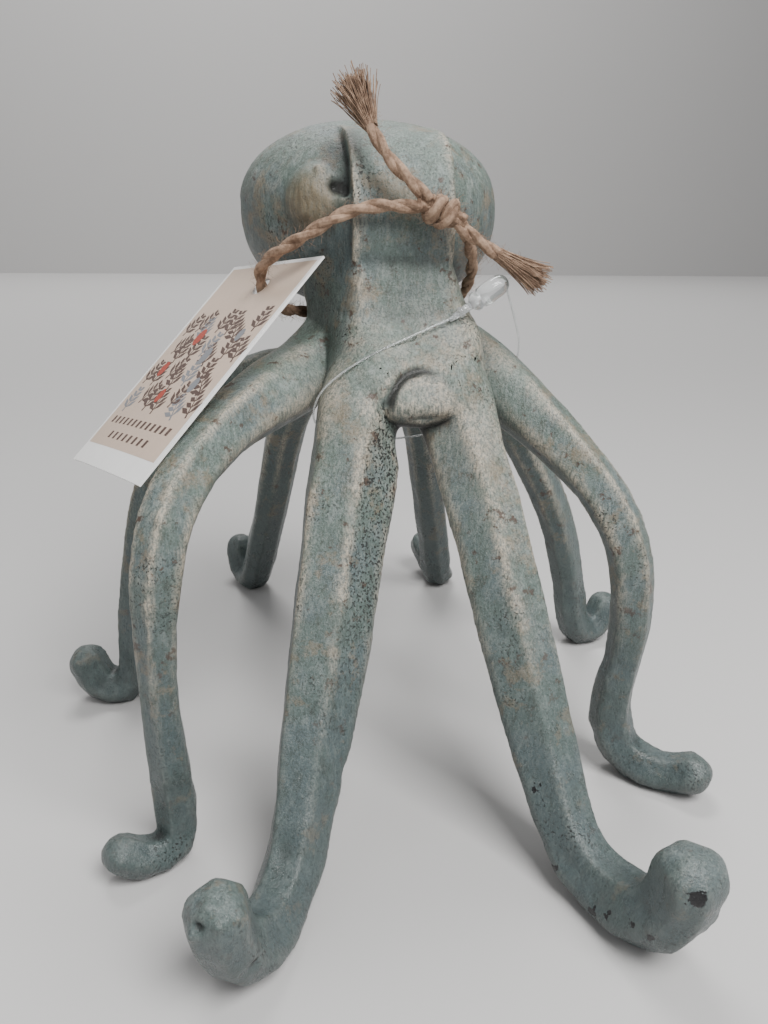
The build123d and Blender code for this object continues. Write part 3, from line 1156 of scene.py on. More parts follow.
    def _cut(self, node: str, net: SurfaceNet, normals: np.ndarray, fields: dict[str, np.ndarray],
             chosen: np.ndarray) -> Mesh:
        """Mesh of one casting, closed where it was cut from its neighbours.

        Args:
            node: CAD node that it stands for.
            net: surface of the castings.
            normals: its vertex normals.
            fields: values per vertex, by name.
            chosen: true for the quads of this casting.
        Returns:
            The mesh, with its fields as attributes.
        """
        quads = net.quads[chosen]
        used = np.unique(quads)
        renumber = np.zeros(len(net.points), dtype=np.int64)
        renumber[used] = np.arange(len(used))
        mesh = new_mesh(f"{node}_look", net.points[used], renumber[quads])
        work = bmesh.new()
        work.from_mesh(mesh)
        rims = [edge for edge in work.edges if edge.is_boundary]
        bmesh.ops.holes_fill(work, edges=rims, sides=0)
        work.to_mesh(mesh)
        work.free()
        for name, values in fields.items():
            layer = mesh.attributes.new(name, "FLOAT", "POINT")
            layer.data.foreach_set("value", values[used].astype(np.float32))
        mesh.normals_split_custom_set_from_vertices(normals[used].tolist())
        return mesh


@dataclass
class CordPath:
    """Smooth middle line of a cord, with frames along it."""

    route_mm: Sequence[Point]
    step_mm: float = 0.35

    def __post_init__(self) -> None:
        """Read the line from a NURBS spline and space its points evenly."""
        rough = self._spline_points()
        lengths = np.concatenate([[0.0], np.cumsum(np.linalg.norm(np.diff(rough, axis=0), axis=1))])
        count = round(lengths[-1] / (self.step_mm * MM))
        self.along = np.linspace(0.0, lengths[-1], count)
        self.points = np.stack([np.interp(self.along, lengths, column) for column in rough.T], axis=1)
        self.length = float(lengths[-1])
        self._frames()

    def _spline_points(self) -> np.ndarray:
        """Points of the NURBS spline through the route.

        Returns:
            Array of shape (count, 3), in metres.
        """
        curve = bpy.data.curves.new("route", "CURVE")
        curve.dimensions = "3D"
        curve.resolution_u = 24
        spline = curve.splines.new("NURBS")
        spline.points.add(len(self.route_mm) - 1)
        for point, spot in zip(spline.points, metres(self.route_mm)):
            point.co = (*spot, 1.0)
        spline.order_u = 3
        spline.use_endpoint_u = True
        holder = new_object("route", curve)
        mesh = evaluated_mesh(holder)
        points = np.array([vertex.co for vertex in mesh.vertices])
        bpy.data.objects.remove(holder)
        return points

    def _frames(self) -> None:
        """Carry a pair of cross directions along the line without twist."""
        self.tangents = unit(np.gradient(self.points, axis=0))
        first = np.cross(self.tangents[0], [0.0, 0.0, 1.0])
        sides = [unit(first)]
        for tangent in self.tangents[1:]:
            sides.append(unit(sides[-1] - tangent * np.dot(sides[-1], tangent)))
        self.sides = np.array(sides)
        self.ups = np.cross(self.tangents, self.sides)

    def offset(self, radius: object, angle: np.ndarray) -> np.ndarray:
        """Line that winds round the middle line.

        Args:
            radius: distance from the middle line, one value or one per point.
            angle: angle round it at each point, in radians.
        Returns:
            Array of shape (count, 3).
        """
        ring = self.sides * np.cos(angle)[:, None] + self.ups * np.sin(angle)[:, None]
        return self.points + ring * np.broadcast_to(radius, angle.shape)[:, None]


def tube_arrays(line: np.ndarray, radii: np.ndarray, sides: int, lobes: int = 0,
                twist: float = 0.0, lobe_depth: float = 0.055) -> tuple[np.ndarray, list[list[int]]]:
    """Closed tube along a line, with a lobed section if asked.

    Args:
        line: points of the middle line.
        radii: radius at each point.
        sides: corners of the section.
        lobes: rounded ridges round the section.
        twist: turn of the lobes per point, in radians.
        lobe_depth: height of the ridges, as a share of the radius.
    Returns:
        Vertices and faces.
    """
    tangents = unit(np.gradient(line, axis=0))
    side = unit(np.cross(tangents[0], [0.31, 0.27, 0.91]))
    rings = []
    angles = np.arange(sides) * 2 * math.pi / sides
    for index, (centre, tangent, radius) in enumerate(zip(line, tangents, radii)):
        side = unit(side - tangent * np.dot(side, tangent))
        other = np.cross(tangent, side)
        swell = 1.0 + lobe_depth * np.cos(lobes * angles + twist * index) if lobes else np.ones(sides)
        ring = np.outer(np.cos(angles) * swell, side) + np.outer(np.sin(angles) * swell, other)
        rings.append(centre + ring * radius)
    vertices = np.concatenate(rings)
    faces = strip_faces(len(line), sides)
    faces.append(list(range(sides))[::-1])
    faces.append([len(vertices) - sides + corner for corner in range(sides)])
    return vertices, faces


class FibreTree(NodeKit):
    """Geometry Nodes tree that sets loose fibres on a surface or fans them out of a cut end."""

    def __init__(self, name: str, measure: str) -> None:
        """Start an empty tree with the inputs that every kind of fibre has.

        Args:
            name: name of the tree.
            measure: name of the one further input, a number.
        """
        self.tree = bpy.data.node_groups.new(name, "GeometryNodeTree")
        inputs = (("Geometry", "Geometry"), (measure, "Float"), ("Length", "Float"), ("Seed", "Int"),
                  ("Material", "Material"))
        for label, kind in inputs:
            self.tree.interface.new_socket(label, in_out="INPUT", socket_type=f"NodeSocket{kind}")
        self.tree.interface.new_socket("Geometry", in_out="OUTPUT", socket_type="NodeSocketGeometry")
        super().__init__(self.tree)
        self.entry = self.node("NodeGroupInput")
        self.exit = self.node("NodeGroupOutput")

    def fibre(self, thickness_share: float, bend: float) -> NodeSocket:
        """One curved fibre of unit length along Z.

        Args:
            thickness_share: radius as a share of the length.
            bend: how far its tip leans to X, as a share of the length.
        Returns:
            Mesh output.
        """
        line = self.node("GeometryNodeCurveQuadraticBezier")
        line.inputs["Resolution"].default_value = 5
        line.inputs["Start"].default_value = (0.0, 0.0, 0.0)
        line.inputs["Middle"].default_value = (0.0, 0.0, 0.6)
        line.inputs["End"].default_value = (bend, 0.0, 0.95)
        ring = self.node("GeometryNodeCurvePrimitiveCircle")
        ring.inputs["Resolution"].default_value = 3
        ring.inputs["Radius"].default_value = thickness_share
        sweep = self.node("GeometryNodeCurveToMesh")
        self.link(line.outputs["Curve"], sweep.inputs["Curve"])
        self.link(ring.outputs["Curve"], sweep.inputs["Profile Curve"])
        return sweep.outputs["Mesh"]

    def random(self, kind: str, low: object, high: object, seed_shift: int) -> NodeSocket:
        """Random value from the tree's seed.

        Args:
            kind: FLOAT or FLOAT_VECTOR.
            low: lowest value.
            high: highest value.
            seed_shift: added to the seed, so that each use differs.
        Returns:
            Value output.
        """
        made = self.node("FunctionNodeRandomValue", data_type=kind)
        live = [socket for socket in made.inputs if socket.enabled]
        for socket, value in zip(live[:2], (low, high)):
            socket.default_value = value
        seed = self.node("FunctionNodeIntegerMath", operation="ADD")
        self.link(self.entry.outputs["Seed"], seed.inputs[0])
        seed.inputs[1].default_value = seed_shift
        self.link(seed.outputs[0], made.inputs["Seed"])
        return next(socket for socket in made.outputs if socket.enabled)

    def spun(self, rotation: NodeSocket, low: Point, high: Point, seed_shift: int) -> NodeSocket:
        """Rotation with a random turn about its own axes.

        Args:
            rotation: rotation output.
            low: least turn about each axis, in radians.
            high: greatest turn about each axis.
            seed_shift: added to the seed.
        Returns:
            Rotation output.
        """
        spin = self.node("FunctionNodeEulerToRotation")
        self.link(self.random("FLOAT_VECTOR", low, high, seed_shift), spin.inputs["Euler"])
        turn = self.node("FunctionNodeRotateRotation", rotation_space="LOCAL")
        self.link(rotation, turn.inputs["Rotation"])
        self.link(spin.outputs["Rotation"], turn.inputs["Rotate By"])
        return turn.outputs["Rotation"]

    def finish(self, points: NodeSocket, rotation: NodeSocket, fibre: NodeSocket,
               shortest: float, seed_shift: int) -> None:
        """Set a fibre of uneven length on each point and end the tree in real, painted geometry.

        Args:
            points: points output.
            rotation: rotation output.
            fibre: mesh of one fibre of unit length.
            shortest: length of the shortest fibre, as a share of the longest.
            seed_shift: added to the seed.
        """
        size = self.node("ShaderNodeMath", operation="MULTIPLY")
        self.link(self.random("FLOAT", shortest, 1.0, seed_shift), size.inputs[0])
        self.link(self.entry.outputs["Length"], size.inputs[1])
        copies = self.node("GeometryNodeInstanceOnPoints")
        sources = {"Points": points, "Instance": fibre, "Rotation": rotation, "Scale": size.outputs[0]}
        for key, source in sources.items():
            self.link(source, copies.inputs[key])
        real = self.node("GeometryNodeRealizeInstances")
        paint = self.node("GeometryNodeSetMaterial")
        self.link(copies.outputs["Instances"], real.inputs["Geometry"])
        self.link(real.outputs["Geometry"], paint.inputs["Geometry"])
        self.link(self.entry.outputs["Material"], paint.inputs["Material"])
        self.link(paint.outputs["Geometry"], self.exit.inputs["Geometry"])

    def run(self, mesh: Mesh, values: dict[str, object]) -> Mesh:
        """Run the tree on a mesh.

        Args:
            mesh: input geometry.
            values: inputs by name.
        Returns:
            The new mesh.
        """
        holder = new_object("fibre source", mesh)
        modifier = holder.modifiers.new("fibres", "NODES")
        modifier.node_group = self.tree
        for item in self.tree.interface.items_tree:
            if item.in_out == "INPUT" and item.name in values:
                modifier[item.identifier] = values[item.name]
        result = evaluated_mesh(holder)
        bpy.data.objects.remove(holder)
        return result


def fuzz_tree() -> FibreTree:
    """Tree that sets short loose fibres on a surface.

    Returns:
        The tree, with inputs Density, Length, Seed and Material.
    """
    tree = FibreTree("loose fibres", "Density")
    scatter = tree.node("GeometryNodeDistributePointsOnFaces")
    for key, source in (("Mesh", "Geometry"), ("Density", "Density"), ("Seed", "Seed")):
        tree.link(tree.entry.outputs[source], scatter.inputs[key])
    lean = FUZZ_LEAN
    rotation = tree.spun(scatter.outputs["Rotation"], (-lean, -lean, 0.0), (lean, lean, FULL_TURN), 1)
    tree.finish(scatter.outputs["Points"], rotation, tree.fibre(0.012, 0.55), 0.25, 2)
    return tree


def fray_tree() -> FibreTree:
    """Tree that fans fibres out of each vertex of a disc, more the further out the vertex lies.

    Returns:
        The tree, with inputs Spread, Length, Seed and Material.
    """
    tree = FibreTree("frayed end", "Spread")
    points = tree.node("GeometryNodeMeshToPoints")
    tree.link(tree.entry.outputs["Geometry"], points.inputs["Mesh"])
    lean = tree.node("ShaderNodeVectorMath", operation="SCALE")
    tree.link(tree.node("GeometryNodeInputPosition").outputs["Position"], lean.inputs[0])
    tree.link(tree.entry.outputs["Spread"], lean.inputs["Scale"])
    stray = tree.node("ShaderNodeVectorMath", operation="ADD")
    tree.link(lean.outputs["Vector"], stray.inputs[0])
    sway = FRAY_SWAY
    tree.link(tree.random("FLOAT_VECTOR", (-sway, -sway, 1.0), (sway, sway, 1.0), 3), stray.inputs[1])
    aim = tree.node("FunctionNodeAlignRotationToVector", axis="Z")
    tree.link(stray.outputs["Vector"], aim.inputs["Vector"])
    rotation = tree.spun(aim.outputs["Rotation"], (0.0, 0.0, 0.0), (0.0, 0.0, FULL_TURN), 4)
    tree.finish(points.outputs["Points"], rotation, tree.fibre(0.0075, 0.10), 0.72, 5)
    return tree


@dataclass
class Twine:
    """Jute twine: a loop through the tag and round the neck, a knot and two cut ends."""

    finish: JuteFinish
    diameter_mm: float = 3.3
    girth_share: float = 0.86
    plies: int = 2
    ply_share: float = 0.64
    ply_set: float = 0.98
    pitch_mm: float = 13.0
    ply_sides: int = 24
    ply_lobes: int = 7
    lobe_twist: float = -0.22
    uneven_share: float = 0.06
    uneven_scale: float = 420.0
    uneven_seed: int = 11
    fuzz_per_m2: float = 1.3e6
    fuzz_mm: float = 2.3
    fray_mm: float = 10.5
    fray_start_mm: float = 3.0
    fray_core_share: float = 0.93
    fray_disc_share: float = 0.42
    fray_count: int = 340
    lower_spread: float = 40.0
    upper_spread: float = 150.0
    thinnest: float = 0.25
    shortest_cord_mm: float = 30.0
    knot_mm: Point = (5.5, -27.2, 136.3)
    knot_radius_mm: float = 2.75
    knot_length_mm: float = 6.4
    knot_turns: float = 2.3
    knot_start: float = 0.6
    knot_waist: float = 0.78
    knot_points: int = 13
    knot_core: tuple[tuple[float, float], ...] = ((-0.85, 0.3), (-0.3, -0.4), (0.3, 0.5), (0.85, -0.2))

    def build(self) -> list[Object]:
        """Returns:
            The pieces.
        """
        self.material = self.finish.material()
        self.fuzz = fuzz_tree()
        self.fray = fray_tree()
        path = CordPath(LOOP_ROUTE_MM)
        loop = self._run("twine_loop", self._ply_mesh(path), 1)
        knot = self._knot()
        lower = self._end("twine_end_lower", LOWER_ROUTE_MM, 3, self.lower_spread)
        upper = self._end("twine_end_upper", UPPER_ROUTE_MM, 2, self.upper_spread)
        return [loop, knot, *lower, *upper]

    def _ply_mesh(self, path: CordPath, girth: object = 1.0) -> Mesh:
        """Twisted plies along a path.

        Args:
            path: middle line.
            girth: share of the full girth, one value or one per point.
        Returns:
            The mesh.
        """
        girth = np.broadcast_to(girth, len(path.points))
        radius = self.diameter_mm * self.girth_share * MM / 2
        ply = radius * self.ply_share * girth
        turn = 2 * math.pi * path.along / (self.pitch_mm * MM)
        vertices: list[np.ndarray] = []
        faces: list[list[int]] = []
        for index in range(self.plies):
            angle = turn + 2 * math.pi * index / self.plies
            line = path.offset((radius * girth - ply) * self.ply_set, angle)
            lumps = lattice_noise(line, self.uneven_scale, self.uneven_seed + index)
            swell = 1.0 + self.uneven_share * lumps
            spots, sides = tube_arrays(line, ply * swell, self.ply_sides, self.ply_lobes, self.lobe_twist)
            shift = sum(len(part) for part in vertices)
            vertices.append(spots)
            faces.extend([corner + shift for corner in face] for face in sides)
        return new_mesh("plies", np.concatenate(vertices), faces, self.material)

    def _run(self, node: str, plies: Mesh, seed: int) -> Object:
        """One piece of twine, with loose fibres on it.

        Args:
            node: CAD node that it stands for.
            plies: its plies.
            seed: whole number that picks the fibres.
        Returns:
            The piece.
        """
        fibres = self.fuzz.run(plies, {
            "Density": self.fuzz_per_m2, "Length": self.fuzz_mm * MM, "Seed": seed, "Material": self.material})
        name = f"{node}_look"
        whole = joined_mesh(name, [plies, fibres])
        whole.shade_smooth()
        return place(name, whole, Body.FIGURINE, [node])

    def _end(self, node: str, route_mm: Sequence[Point], seed: int, spread: float) -> list[Object]:
        """A cut end with its fray.

        Args:
            node: CAD node that it stands for.
            route_mm: route of the end.
            seed: whole number that picks the fibres.
            spread: lean of the fibres per metre from the middle of the twine.
        Returns:
            The run of twine and its fray.
        """
        tip = np.array(route_mm[-1])
        way = unit(tip - np.array(route_mm[-2]))
        path = CordPath([*route_mm, tuple(tip + way * self.fray_mm * self.fray_core_share)])
        taper = np.clip((path.length - path.along) / (self.fray_mm * MM), 0.0, 1.0)
        girth = self.thinnest + (1.0 - self.thinnest) * np.sqrt(taper)
        run = self._run(node, self._ply_mesh(path, girth), seed)
        fray = self._fray(f"{node}_fray", tip - way * self.fray_start_mm, way, seed, spread)
        return [run, fray]

    def _fray(self, name: str, start_mm: np.ndarray, way: np.ndarray, seed: int,
              spread: float) -> Object:
        """Brush of loose fibres at a cut end.

        Args:
            name: name of the piece.
            start_mm: where the fibres leave the twine.
            way: direction of the twine there.
            seed: whole number that picks the fibres.
            spread: lean of the fibres per metre from the middle of the twine.
        Returns:
            The piece.
        """
        steps = np.arange(self.fray_count)
        out = np.sqrt((steps + 0.5) / self.fray_count) * self.diameter_mm * MM * self.fray_disc_share
        turn = steps * GOLDEN_ANGLE
        disc = np.stack([out * np.cos(turn), out * np.sin(turn), 0 * out], axis=1)
        mesh = self.fray.run(new_mesh("disc", disc, []), {
            "Length": (self.fray_mm + self.fray_start_mm) * MM, "Spread": spread, "Seed": seed,
            "Material": self.material})
        turned = Vector(way).to_track_quat("Z", "Y").to_matrix().to_4x4()
        mesh.transform(Matrix.Translation(Vector(start_mm * MM)) @ turned)
        mesh.shade_smooth()
        return place(name, mesh, Body.FIGURINE)

    def _knot(self) -> Object:
        """Overhand knot: turns of twine round the strands that run through it.

        Returns:
            The piece.
        """
        centre = np.array(self.knot_mm)
        axis = unit(np.array(LOWER_ROUTE_MM[1]) - np.array(LOOP_ROUTE_MM[1]))
        side = unit(np.cross(axis, [0.0, 1.0, 0.0]))
        front = np.cross(side, axis)
        wrap = []
        for step in np.linspace(0.0, 1.0, self.knot_points):
            angle = 2 * math.pi * self.knot_turns * step + self.knot_start
            bulge = self.knot_waist + (1.0 - self.knot_waist) * math.sin(math.pi * step)
            ring = (side * math.cos(angle) + front * math.sin(angle)) * self.knot_radius_mm * bulge
            wrap.append(tuple(centre + axis * (step - 0.5) * self.knot_length_mm + ring))
        core = []
        for share, bow in self.knot_core:
            core.append(tuple(centre + axis * share * self.knot_length_mm + front * bow))
        near_tuck = tuple(centre + axis * 1.2 - front * 0.6)
        far_tuck = tuple(centre - axis * 1.4 + side * 1.0)
        tuck = [LOOP_ROUTE_MM[-1], near_tuck, far_tuck, UPPER_ROUTE_MM[0]]
        plies = joined_mesh("knot", [self._ply_mesh(CordPath(route)) for route in (wrap, core, tuck)])
        return self._run("twine_knot", plies, 5)


@dataclass
class HangTag:
    """Card tag with white cut edges and a generic print."""

    white: PlainFinish = PlainFinish("white card", (0.80, 0.79, 0.77))
    ground: PlainFinish = PlainFinish("beige print", (0.56, 0.44, 0.35), 0.42)
    dark: PlainFinish = PlainFinish("brown ink", (0.085, 0.052, 0.042), 0.42)
    grey: PlainFinish = PlainFinish("slate ink", (0.20, 0.205, 0.22), 0.42)
    red: PlainFinish = PlainFinish("red ink", (0.36, 0.055, 0.035), 0.42)
    width_mm: float = 40.0
    length_mm: float = 62.0
    thickness_mm: float = 0.5
    hole_drop_mm: float = 8.0
    hole_aside_mm: float = 23.0
    hole_radius_mm: float = 2.5
    hole_mm: Point = (-31.0, -9.5, 120.1)
    heading_deg: float = -58.3
    slope_deg: float = 41.9
    roll_deg: float = 7.4
    border_mm: float = 1.1
    foot_mm: float = 4.2
    bow_mm: float = 0.5
    bow_reach_mm: float = 40.0
    rim_points: int = 96
    rings: int = 14
    ground_rise_mm: float = 0.02
    fern_rise_mm: float = 0.035
    dash_rise_mm: float = 0.04
    pebble_rise_mm: float = 0.06
    fern_rows: int = 4
    fern_columns: int = 7
    fern_start_mm: tuple[float, float] = (2.6, -15.5)
    fern_pitch_mm: tuple[float, float] = (5.3, -7.4)
    fern_stagger_mm: float = 1.8
    fern_sway_mm: float = 1.6
    fern_length_mm: float = 8.2
    leaf_pairs: int = 4
    leaf_start_mm: float = 1.1
    leaf_pitch_mm: float = 1.7
    leaf_length_mm: float = 3.3
    leaf_shrink_mm: float = 0.55
    leaf_rise: float = 0.75
    leaf_half_mm: float = 0.55
    pebble_half_mm: tuple[float, float] = (1.3, 1.9)
    pebbles_mm: tuple[tuple[float, float], ...] = (
        (-9.0, -16.0), (1.5, -21.5), (-14.0, -26.0), (7.0, -29.5), (-4.0, -33.5), (9.0, -15.0),
    )
    dash_rows: tuple[tuple[float, int], ...] = ((0.10, 13), (0.24, 8))
    dash_drop_mm: float = 6.2
    dash_pitch_mm: float = 4.0
    dash_mm: tuple[tuple[float, float], ...] = ((-0.55, 0.0), (0.55, 0.0), (0.85, 1.9), (-0.25, 1.9))

    def build(self) -> Object:
        """Make the tag.

        Returns:
            The piece.
        """
        self._axes()
        mesh = joined_mesh("hang_tag_look", [self._card(), self._ground(), *self._print()])
        return place("hang_tag_look", mesh, Body.TAG, ["hang_tag"])

    def _axes(self) -> None:
        """Directions across the card, up it and out of its printed face."""
        heading = math.radians(self.heading_deg)
        roll = math.radians(self.roll_deg)
        level = np.array([math.cos(heading), math.sin(heading), 0.0])
        down = slope_way(self.heading_deg, self.slope_deg)
        self.across = level * math.cos(roll) + np.cross(down, level) * math.sin(roll)
        self.face = unit(np.cross(down, self.across))
        self.up = np.cross(self.face, self.across)

    def _lift(self, flat: np.ndarray, rise_mm: float) -> np.ndarray:
        """Places on the card in the row frame.

        Args:
            flat: distances across the card and up it from the hole, in millimetres.
            rise_mm: height over the middle of the card.
        Returns:
            Places in metres.
        """
        half = self.width_mm / 2
        across = (flat[:, 0] - half + self.hole_aside_mm) / half
        sag = self.bow_mm * (across**2 - 1.0) * np.clip(-flat[:, 1] / self.bow_reach_mm, 0, 1)
        spots = np.outer(flat[:, 0], self.across) + np.outer(flat[:, 1], self.up)
        return (np.array(self.hole_mm) + spots + np.outer(rise_mm - sag, self.face)) * MM

    def _corners(self, inset_mm: float) -> tuple[float, float, float, float]:
        """Edges of the card.

        Args:
            inset_mm: distance in from the edge.
        Returns:
            Left, right, bottom and top.
        """
        left = -self.hole_aside_mm + inset_mm
        right = self.width_mm - self.hole_aside_mm - inset_mm
        return left, right, self.hole_drop_mm - self.length_mm + inset_mm, self.hole_drop_mm - inset_mm

    def _sheet(self, edges: tuple[float, float, float, float], rise_mm: float,
               finish: PlainFinish) -> Mesh:
        """Sheet with a round hole, as rings from the hole out to a rectangle.

        Args:
            edges: left, right, bottom and top.
            rise_mm: height over the middle of the card.
            finish: its finish.
        Returns:
            The mesh, facing out of the printed side.
        """
        left, right, bottom, top = edges
        angles = np.arange(self.rim_points) * 2 * math.pi / self.rim_points
        cosine, sine = np.cos(angles), np.sin(angles)
        circle = np.stack([cosine, sine], axis=1)
        reach_x = np.where(cosine > 0, right, -left) / np.maximum(np.abs(cosine), 1e-9)
        reach_y = np.where(sine > 0, top, -bottom) / np.maximum(np.abs(sine), 1e-9)
        outer = circle * np.minimum(reach_x, reach_y)[:, None]
        for corner in ((left, bottom), (left, top), (right, bottom), (right, top)):
            nearest = np.argmin(np.linalg.norm(outer - np.array(corner), axis=1))
            outer[nearest] = corner
        inner = circle * self.hole_radius_mm
        shares = np.linspace(0.0, 1.0, self.rings)
        flat = np.concatenate([inner + (outer - inner) * share for share in shares])
        faces = [[here, above, across, beside]
                 for here, beside, across, above in strip_faces(self.rings, self.rim_points)]
        return new_mesh(finish.name, self._lift(flat, rise_mm), faces, finish.material())

    def _card(self) -> Mesh:
        """White card stock with its thickness.

        Returns:
            The mesh.
        """
        sheet = self._sheet(self._corners(0.0), -self.thickness_mm / 2, self.white)
        work = bmesh.new()
        work.from_mesh(sheet)
        grown = bmesh.ops.extrude_face_region(work, geom=work.faces[:])
        moved = [item for item in grown["geom"] if isinstance(item, bmesh.types.BMVert)]
        bmesh.ops.translate(work, verts=moved, vec=Vector(self.face * self.thickness_mm * MM))
        bmesh.ops.recalc_face_normals(work, faces=work.faces)
        work.to_mesh(sheet)
        work.free()
        sheet.shade_flat()
        return sheet

    def _ground(self) -> Mesh:
        """Printed ground, leaving a white border and a white foot.

        Returns:
            The mesh.
        """
        left, right, bottom, top = self._corners(self.border_mm)
        rise_mm = self.thickness_mm / 2 + self.ground_rise_mm
        return self._sheet((left, right, bottom + self.foot_mm, top), rise_mm, self.ground)

    def _patch(self, flat: np.ndarray, ink: Material, rise_mm: float) -> Mesh:
        """One flat printed shape.

        Args:
            flat: outline, across the card and up it from the hole, in millimetres.
            ink: its ink.
            rise_mm: height over the face of the card.
        Returns:
            The mesh.
        """
        return new_mesh("ink", self._lift(flat, self.thickness_mm / 2 + rise_mm), [range(len(flat))], ink)

    def _print(self) -> list[Mesh]:
        """Generic print: rows of fern leaves, oval pebbles and two rows of dashes.

        Returns:
            The inked meshes.
        """
        dark = self.dark.material()
        grey = self.grey.material()
        red = self.red.material()
        left, right, bottom, _ = self._corners(self.border_mm)
        start = np.array(self.fern_start_mm) + (left, 0.0)
        meshes = []
        for row, column in np.ndindex(self.fern_rows, self.fern_columns):
            sway = math.sin(2.3 * column + 1.7 * row)
            step = np.array(self.fern_pitch_mm) * (column, row)
            root = start + step + ((row % 2) * self.fern_stagger_mm, self.fern_sway_mm * sway)
            ink = grey if (2 * row + 3 * column) % 5 == 1 else dark
            meshes.extend(self._fern(root, 0.35 * sway + 0.12 * (3 - column), ink))
        angles = np.linspace(0.0, 2 * math.pi, 20, endpoint=False)
        ring = np.stack([np.cos(angles), np.sin(angles)], axis=1) * self.pebble_half_mm
        for index, spot in enumerate(self.pebbles_mm):
            ink = grey if index % 2 else red
            meshes.append(self._patch(ring * (1.35 - 0.08 * index) + spot, ink, self.pebble_rise_mm))
        for line, (inset, count) in enumerate(self.dash_rows):
            low = bottom + self.foot_mm + self.dash_drop_mm - self.dash_pitch_mm * line
            margin = (right - left) * inset
            for at in np.linspace(left + margin, right - margin, count):
                meshes.append(self._patch(np.array(self.dash_mm) + (at, low), dark, self.dash_rise_mm))
        return meshes

    def _fern(self, root: np.ndarray, lean: float, ink: Material) -> list[Mesh]:
        """One fern: a stem with paired leaflets.

        Args:
            root: foot of the stem.
            lean: lean of the stem, in radians.
            ink: its ink.
        Returns:
            The inked meshes.
        """
        stem = np.array([math.sin(lean), math.cos(lean)])
        cross = np.array([stem[1], -stem[0]])
        shapes = [np.array([root - cross * 0.3, root + cross * 0.3, root + stem * self.fern_length_mm])]
        for pair in range(self.leaf_pairs):
            at = root + stem * (self.leaf_start_mm + self.leaf_pitch_mm * pair)
            length = self.leaf_length_mm - self.leaf_shrink_mm * pair
            for hand in (-1, 1):
                tip = at + (stem * self.leaf_rise + cross * hand) * length
                middle = (at + tip) / 2
                wide = (stem - cross * hand * self.leaf_rise) * self.leaf_half_mm
                outline = np.array([at, middle - wide, tip, middle + wide])
                shapes.append(outline[::-1] if hand > 0 else outline)
        return [self._patch(shape, ink, self.fern_rise_mm) for shape in shapes]


@dataclass
class Fastener:
    """Clear loop fastener: a filament loop that clips into a small lock."""

    finish: ClearFinish
    filament_mm: float = 0.6
    filament_share: float = 0.78
    filament_step_mm: float = 0.5
    filament_sides: int = 8
    lock_mm: Point = (17.5, -25.5, 120.1)
    heading_deg: float = 92.0
    slope_deg: float = 34.0
    length_mm: float = 9.5
    width_mm: float = 4.8
    lock_sides: int = 24
    pin_length_mm: float = 6.0
    pin_radius_mm: float = 0.95
    lock_profile: tuple[tuple[float, float], ...] = (
        (0.0, 0.30), (0.04, 0.62), (0.12, 0.86), (0.25, 0.97), (0.55, 1.0), (0.72, 0.94), (0.76, 0.78),
        (0.80, 0.78), (0.84, 0.92), (0.92, 0.84), (1.0, 0.50),
    )
    pin_profile: tuple[tuple[float, float], ...] = (
        (0.1, 1.0), (2.3, 0.9), (2.5, 1.25), (3.2, 1.25), (3.4, 0.8), (5.4, 0.6), (6.0, 0.4),
    )

    def build(self) -> list[Object]:
        """Make the lock and the filament.

        Returns:
            The pieces.
        """
        self.material = self.finish.material()
        lock = self._lock()
        path = CordPath(FILAMENT_ROUTE_MM, self.filament_step_mm)
        radius = self.filament_mm * MM * self.filament_share / 2
        radii = np.full(len(path.points), radius)
        filament = self._tube("fastener_filament", path.points, radii, self.filament_sides)
        return [lock, filament]

    def _tube(self, node: str, line: np.ndarray, radii: np.ndarray, sides: int) -> Object:
        """Clear round piece along a line.

        Args:
            node: CAD node that it stands for.
            line: points of its middle line.
            radii: radius at each point.
            sides: corners of its section.
        Returns:
            The piece.
        """
        mesh = new_mesh(f"{node}_look", *tube_arrays(line, radii, sides), self.material)
        return place(f"{node}_look", mesh, Body.FIGURINE, [node])

    def _lock(self) -> Object:
        """Lock: a rounded bulb, a collar and a stepped pin, turned about one line.

        Returns:
            The piece.
        """
        way = -slope_way(self.heading_deg, -self.slope_deg)
        start = np.array(self.lock_mm) - way * self.length_mm / 2
        bulb = np.array(self.lock_profile) * (self.length_mm, self.width_mm / 2)
        pin_scale = self.pin_length_mm / self.pin_profile[-1][0]
        pin = np.array(self.pin_profile) * (pin_scale, self.pin_radius_mm)
        stations = np.concatenate([bulb, pin + (self.length_mm, 0.0)])
        line = (start + np.outer(stations[:, 0], way)) * MM
        return self._tube("fastener_lock", line, stations[:, 1] * MM, self.lock_sides)


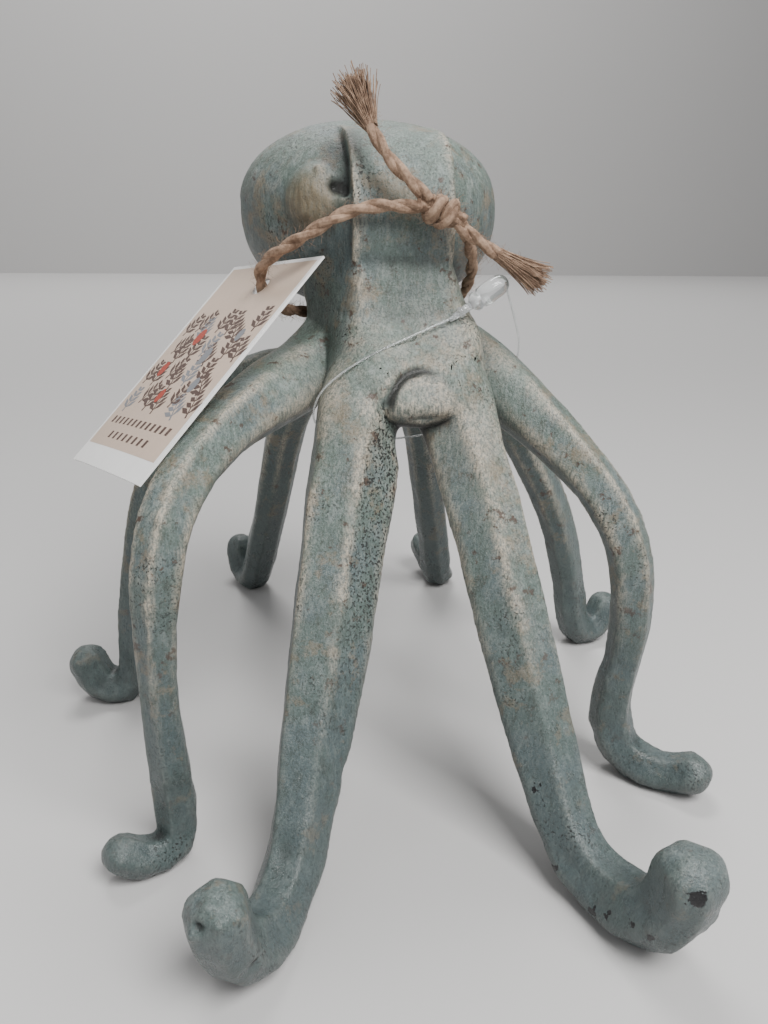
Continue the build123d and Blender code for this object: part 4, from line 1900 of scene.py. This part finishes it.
@dataclass
class Studio:
    """Pale floor, soft light and the camera of the photo."""

    floor: FloorFinish
    eye_mm: Point = (-40.8, -192.2, 131.5)
    forward: Point = (0.1956, 0.9203, -0.3389)
    up: Point = (0.0561, 0.3345, 0.9408)
    lens_mm: float = 27.0
    sensor_mm: float = 36.0
    floor_size: float = 12.0
    wall_y: float = 2.6
    light_colour: tuple[float, float, float, float] = (0.80, 0.82, 0.85, 1.0)
    light_strength: float = 0.42
    clip_start: float = 0.005

    def build(self) -> None:
        """Set up floor, wall, world, lamps and camera."""
        half = self.floor_size / 2
        material = self.floor.material()
        sheets = (("floor", -half, half, 0.0), ("wall", self.wall_y, self.wall_y, half))
        for name, front, back, top in sheets:
            corners = [(-half, front, 0.0), (half, front, 0.0), (half, back, top), (-half, back, top)]
            new_object(name, new_mesh(name, np.array(corners), [[0, 1, 2, 3]], material))
        self._world()
        self._lamp("key", (0.14, -0.36, 0.55), 0.32, 6.0)
        self._lamp("fill", (-0.70, -0.50, 0.50), 0.60, 1.0)
        self._lamp("wall light", (0.0, 1.3, 2.6), 1.2, 75.0, (0.0, self.wall_y, 0.3))
        self._camera()

    def _world(self) -> None:
        """Even grey light from all round."""
        world = bpy.data.worlds.new("studio")
        world.use_nodes = True
        background = world.node_tree.nodes["Background"]
        background.inputs["Color"].default_value = self.light_colour
        background.inputs["Strength"].default_value = self.light_strength
        bpy.context.scene.world = world

    @staticmethod
    def _lamp(name: str, spot: Point, size: float, power: float, target: Point = (0.0, 0.0, 0.08)) -> None:
        """One square area lamp.

        Args:
            name: name of the lamp.
            spot: where it hangs.
            size: width of its face.
            power: watts.
            target: place that it is aimed at.
        """
        lamp = bpy.data.lights.new(name, "AREA")
        lamp.size = size
        lamp.energy = power
        holder = new_object(name, lamp)
        holder.location = spot
        aim = Vector(target) - Vector(spot)
        holder.rotation_euler = aim.to_track_quat("-Z", "Y").to_euler()

    def _camera(self) -> None:
        """Camera at the place worked out from the photo."""
        camera = bpy.data.cameras.new("camera")
        camera.lens = self.lens_mm
        camera.sensor_fit = "AUTO"
        camera.sensor_width = self.sensor_mm
        camera.clip_start = self.clip_start
        holder = new_object("camera", camera)
        back = -Vector(self.forward).normalized()
        up = Vector(self.up).normalized()
        right = up.cross(back).normalized()
        turn = Matrix((right, back.cross(right), back)).transposed()
        holder.matrix_world = Matrix.Translation(Vector(self.eye_mm) * MM) @ turn.to_4x4()
        bpy.context.scene.camera = holder


def main() -> None:
    """Build every part of the scene in order."""
    logging.basicConfig(level=logging.INFO, format="%(name)s: %(message)s")
    Casting(VerdigrisFinish()).build()
    Twine(JuteFinish()).build()
    HangTag().build()
    Fastener(ClearFinish()).build()
    Studio(FloorFinish()).build()


if __name__ == "__main__":
    main()
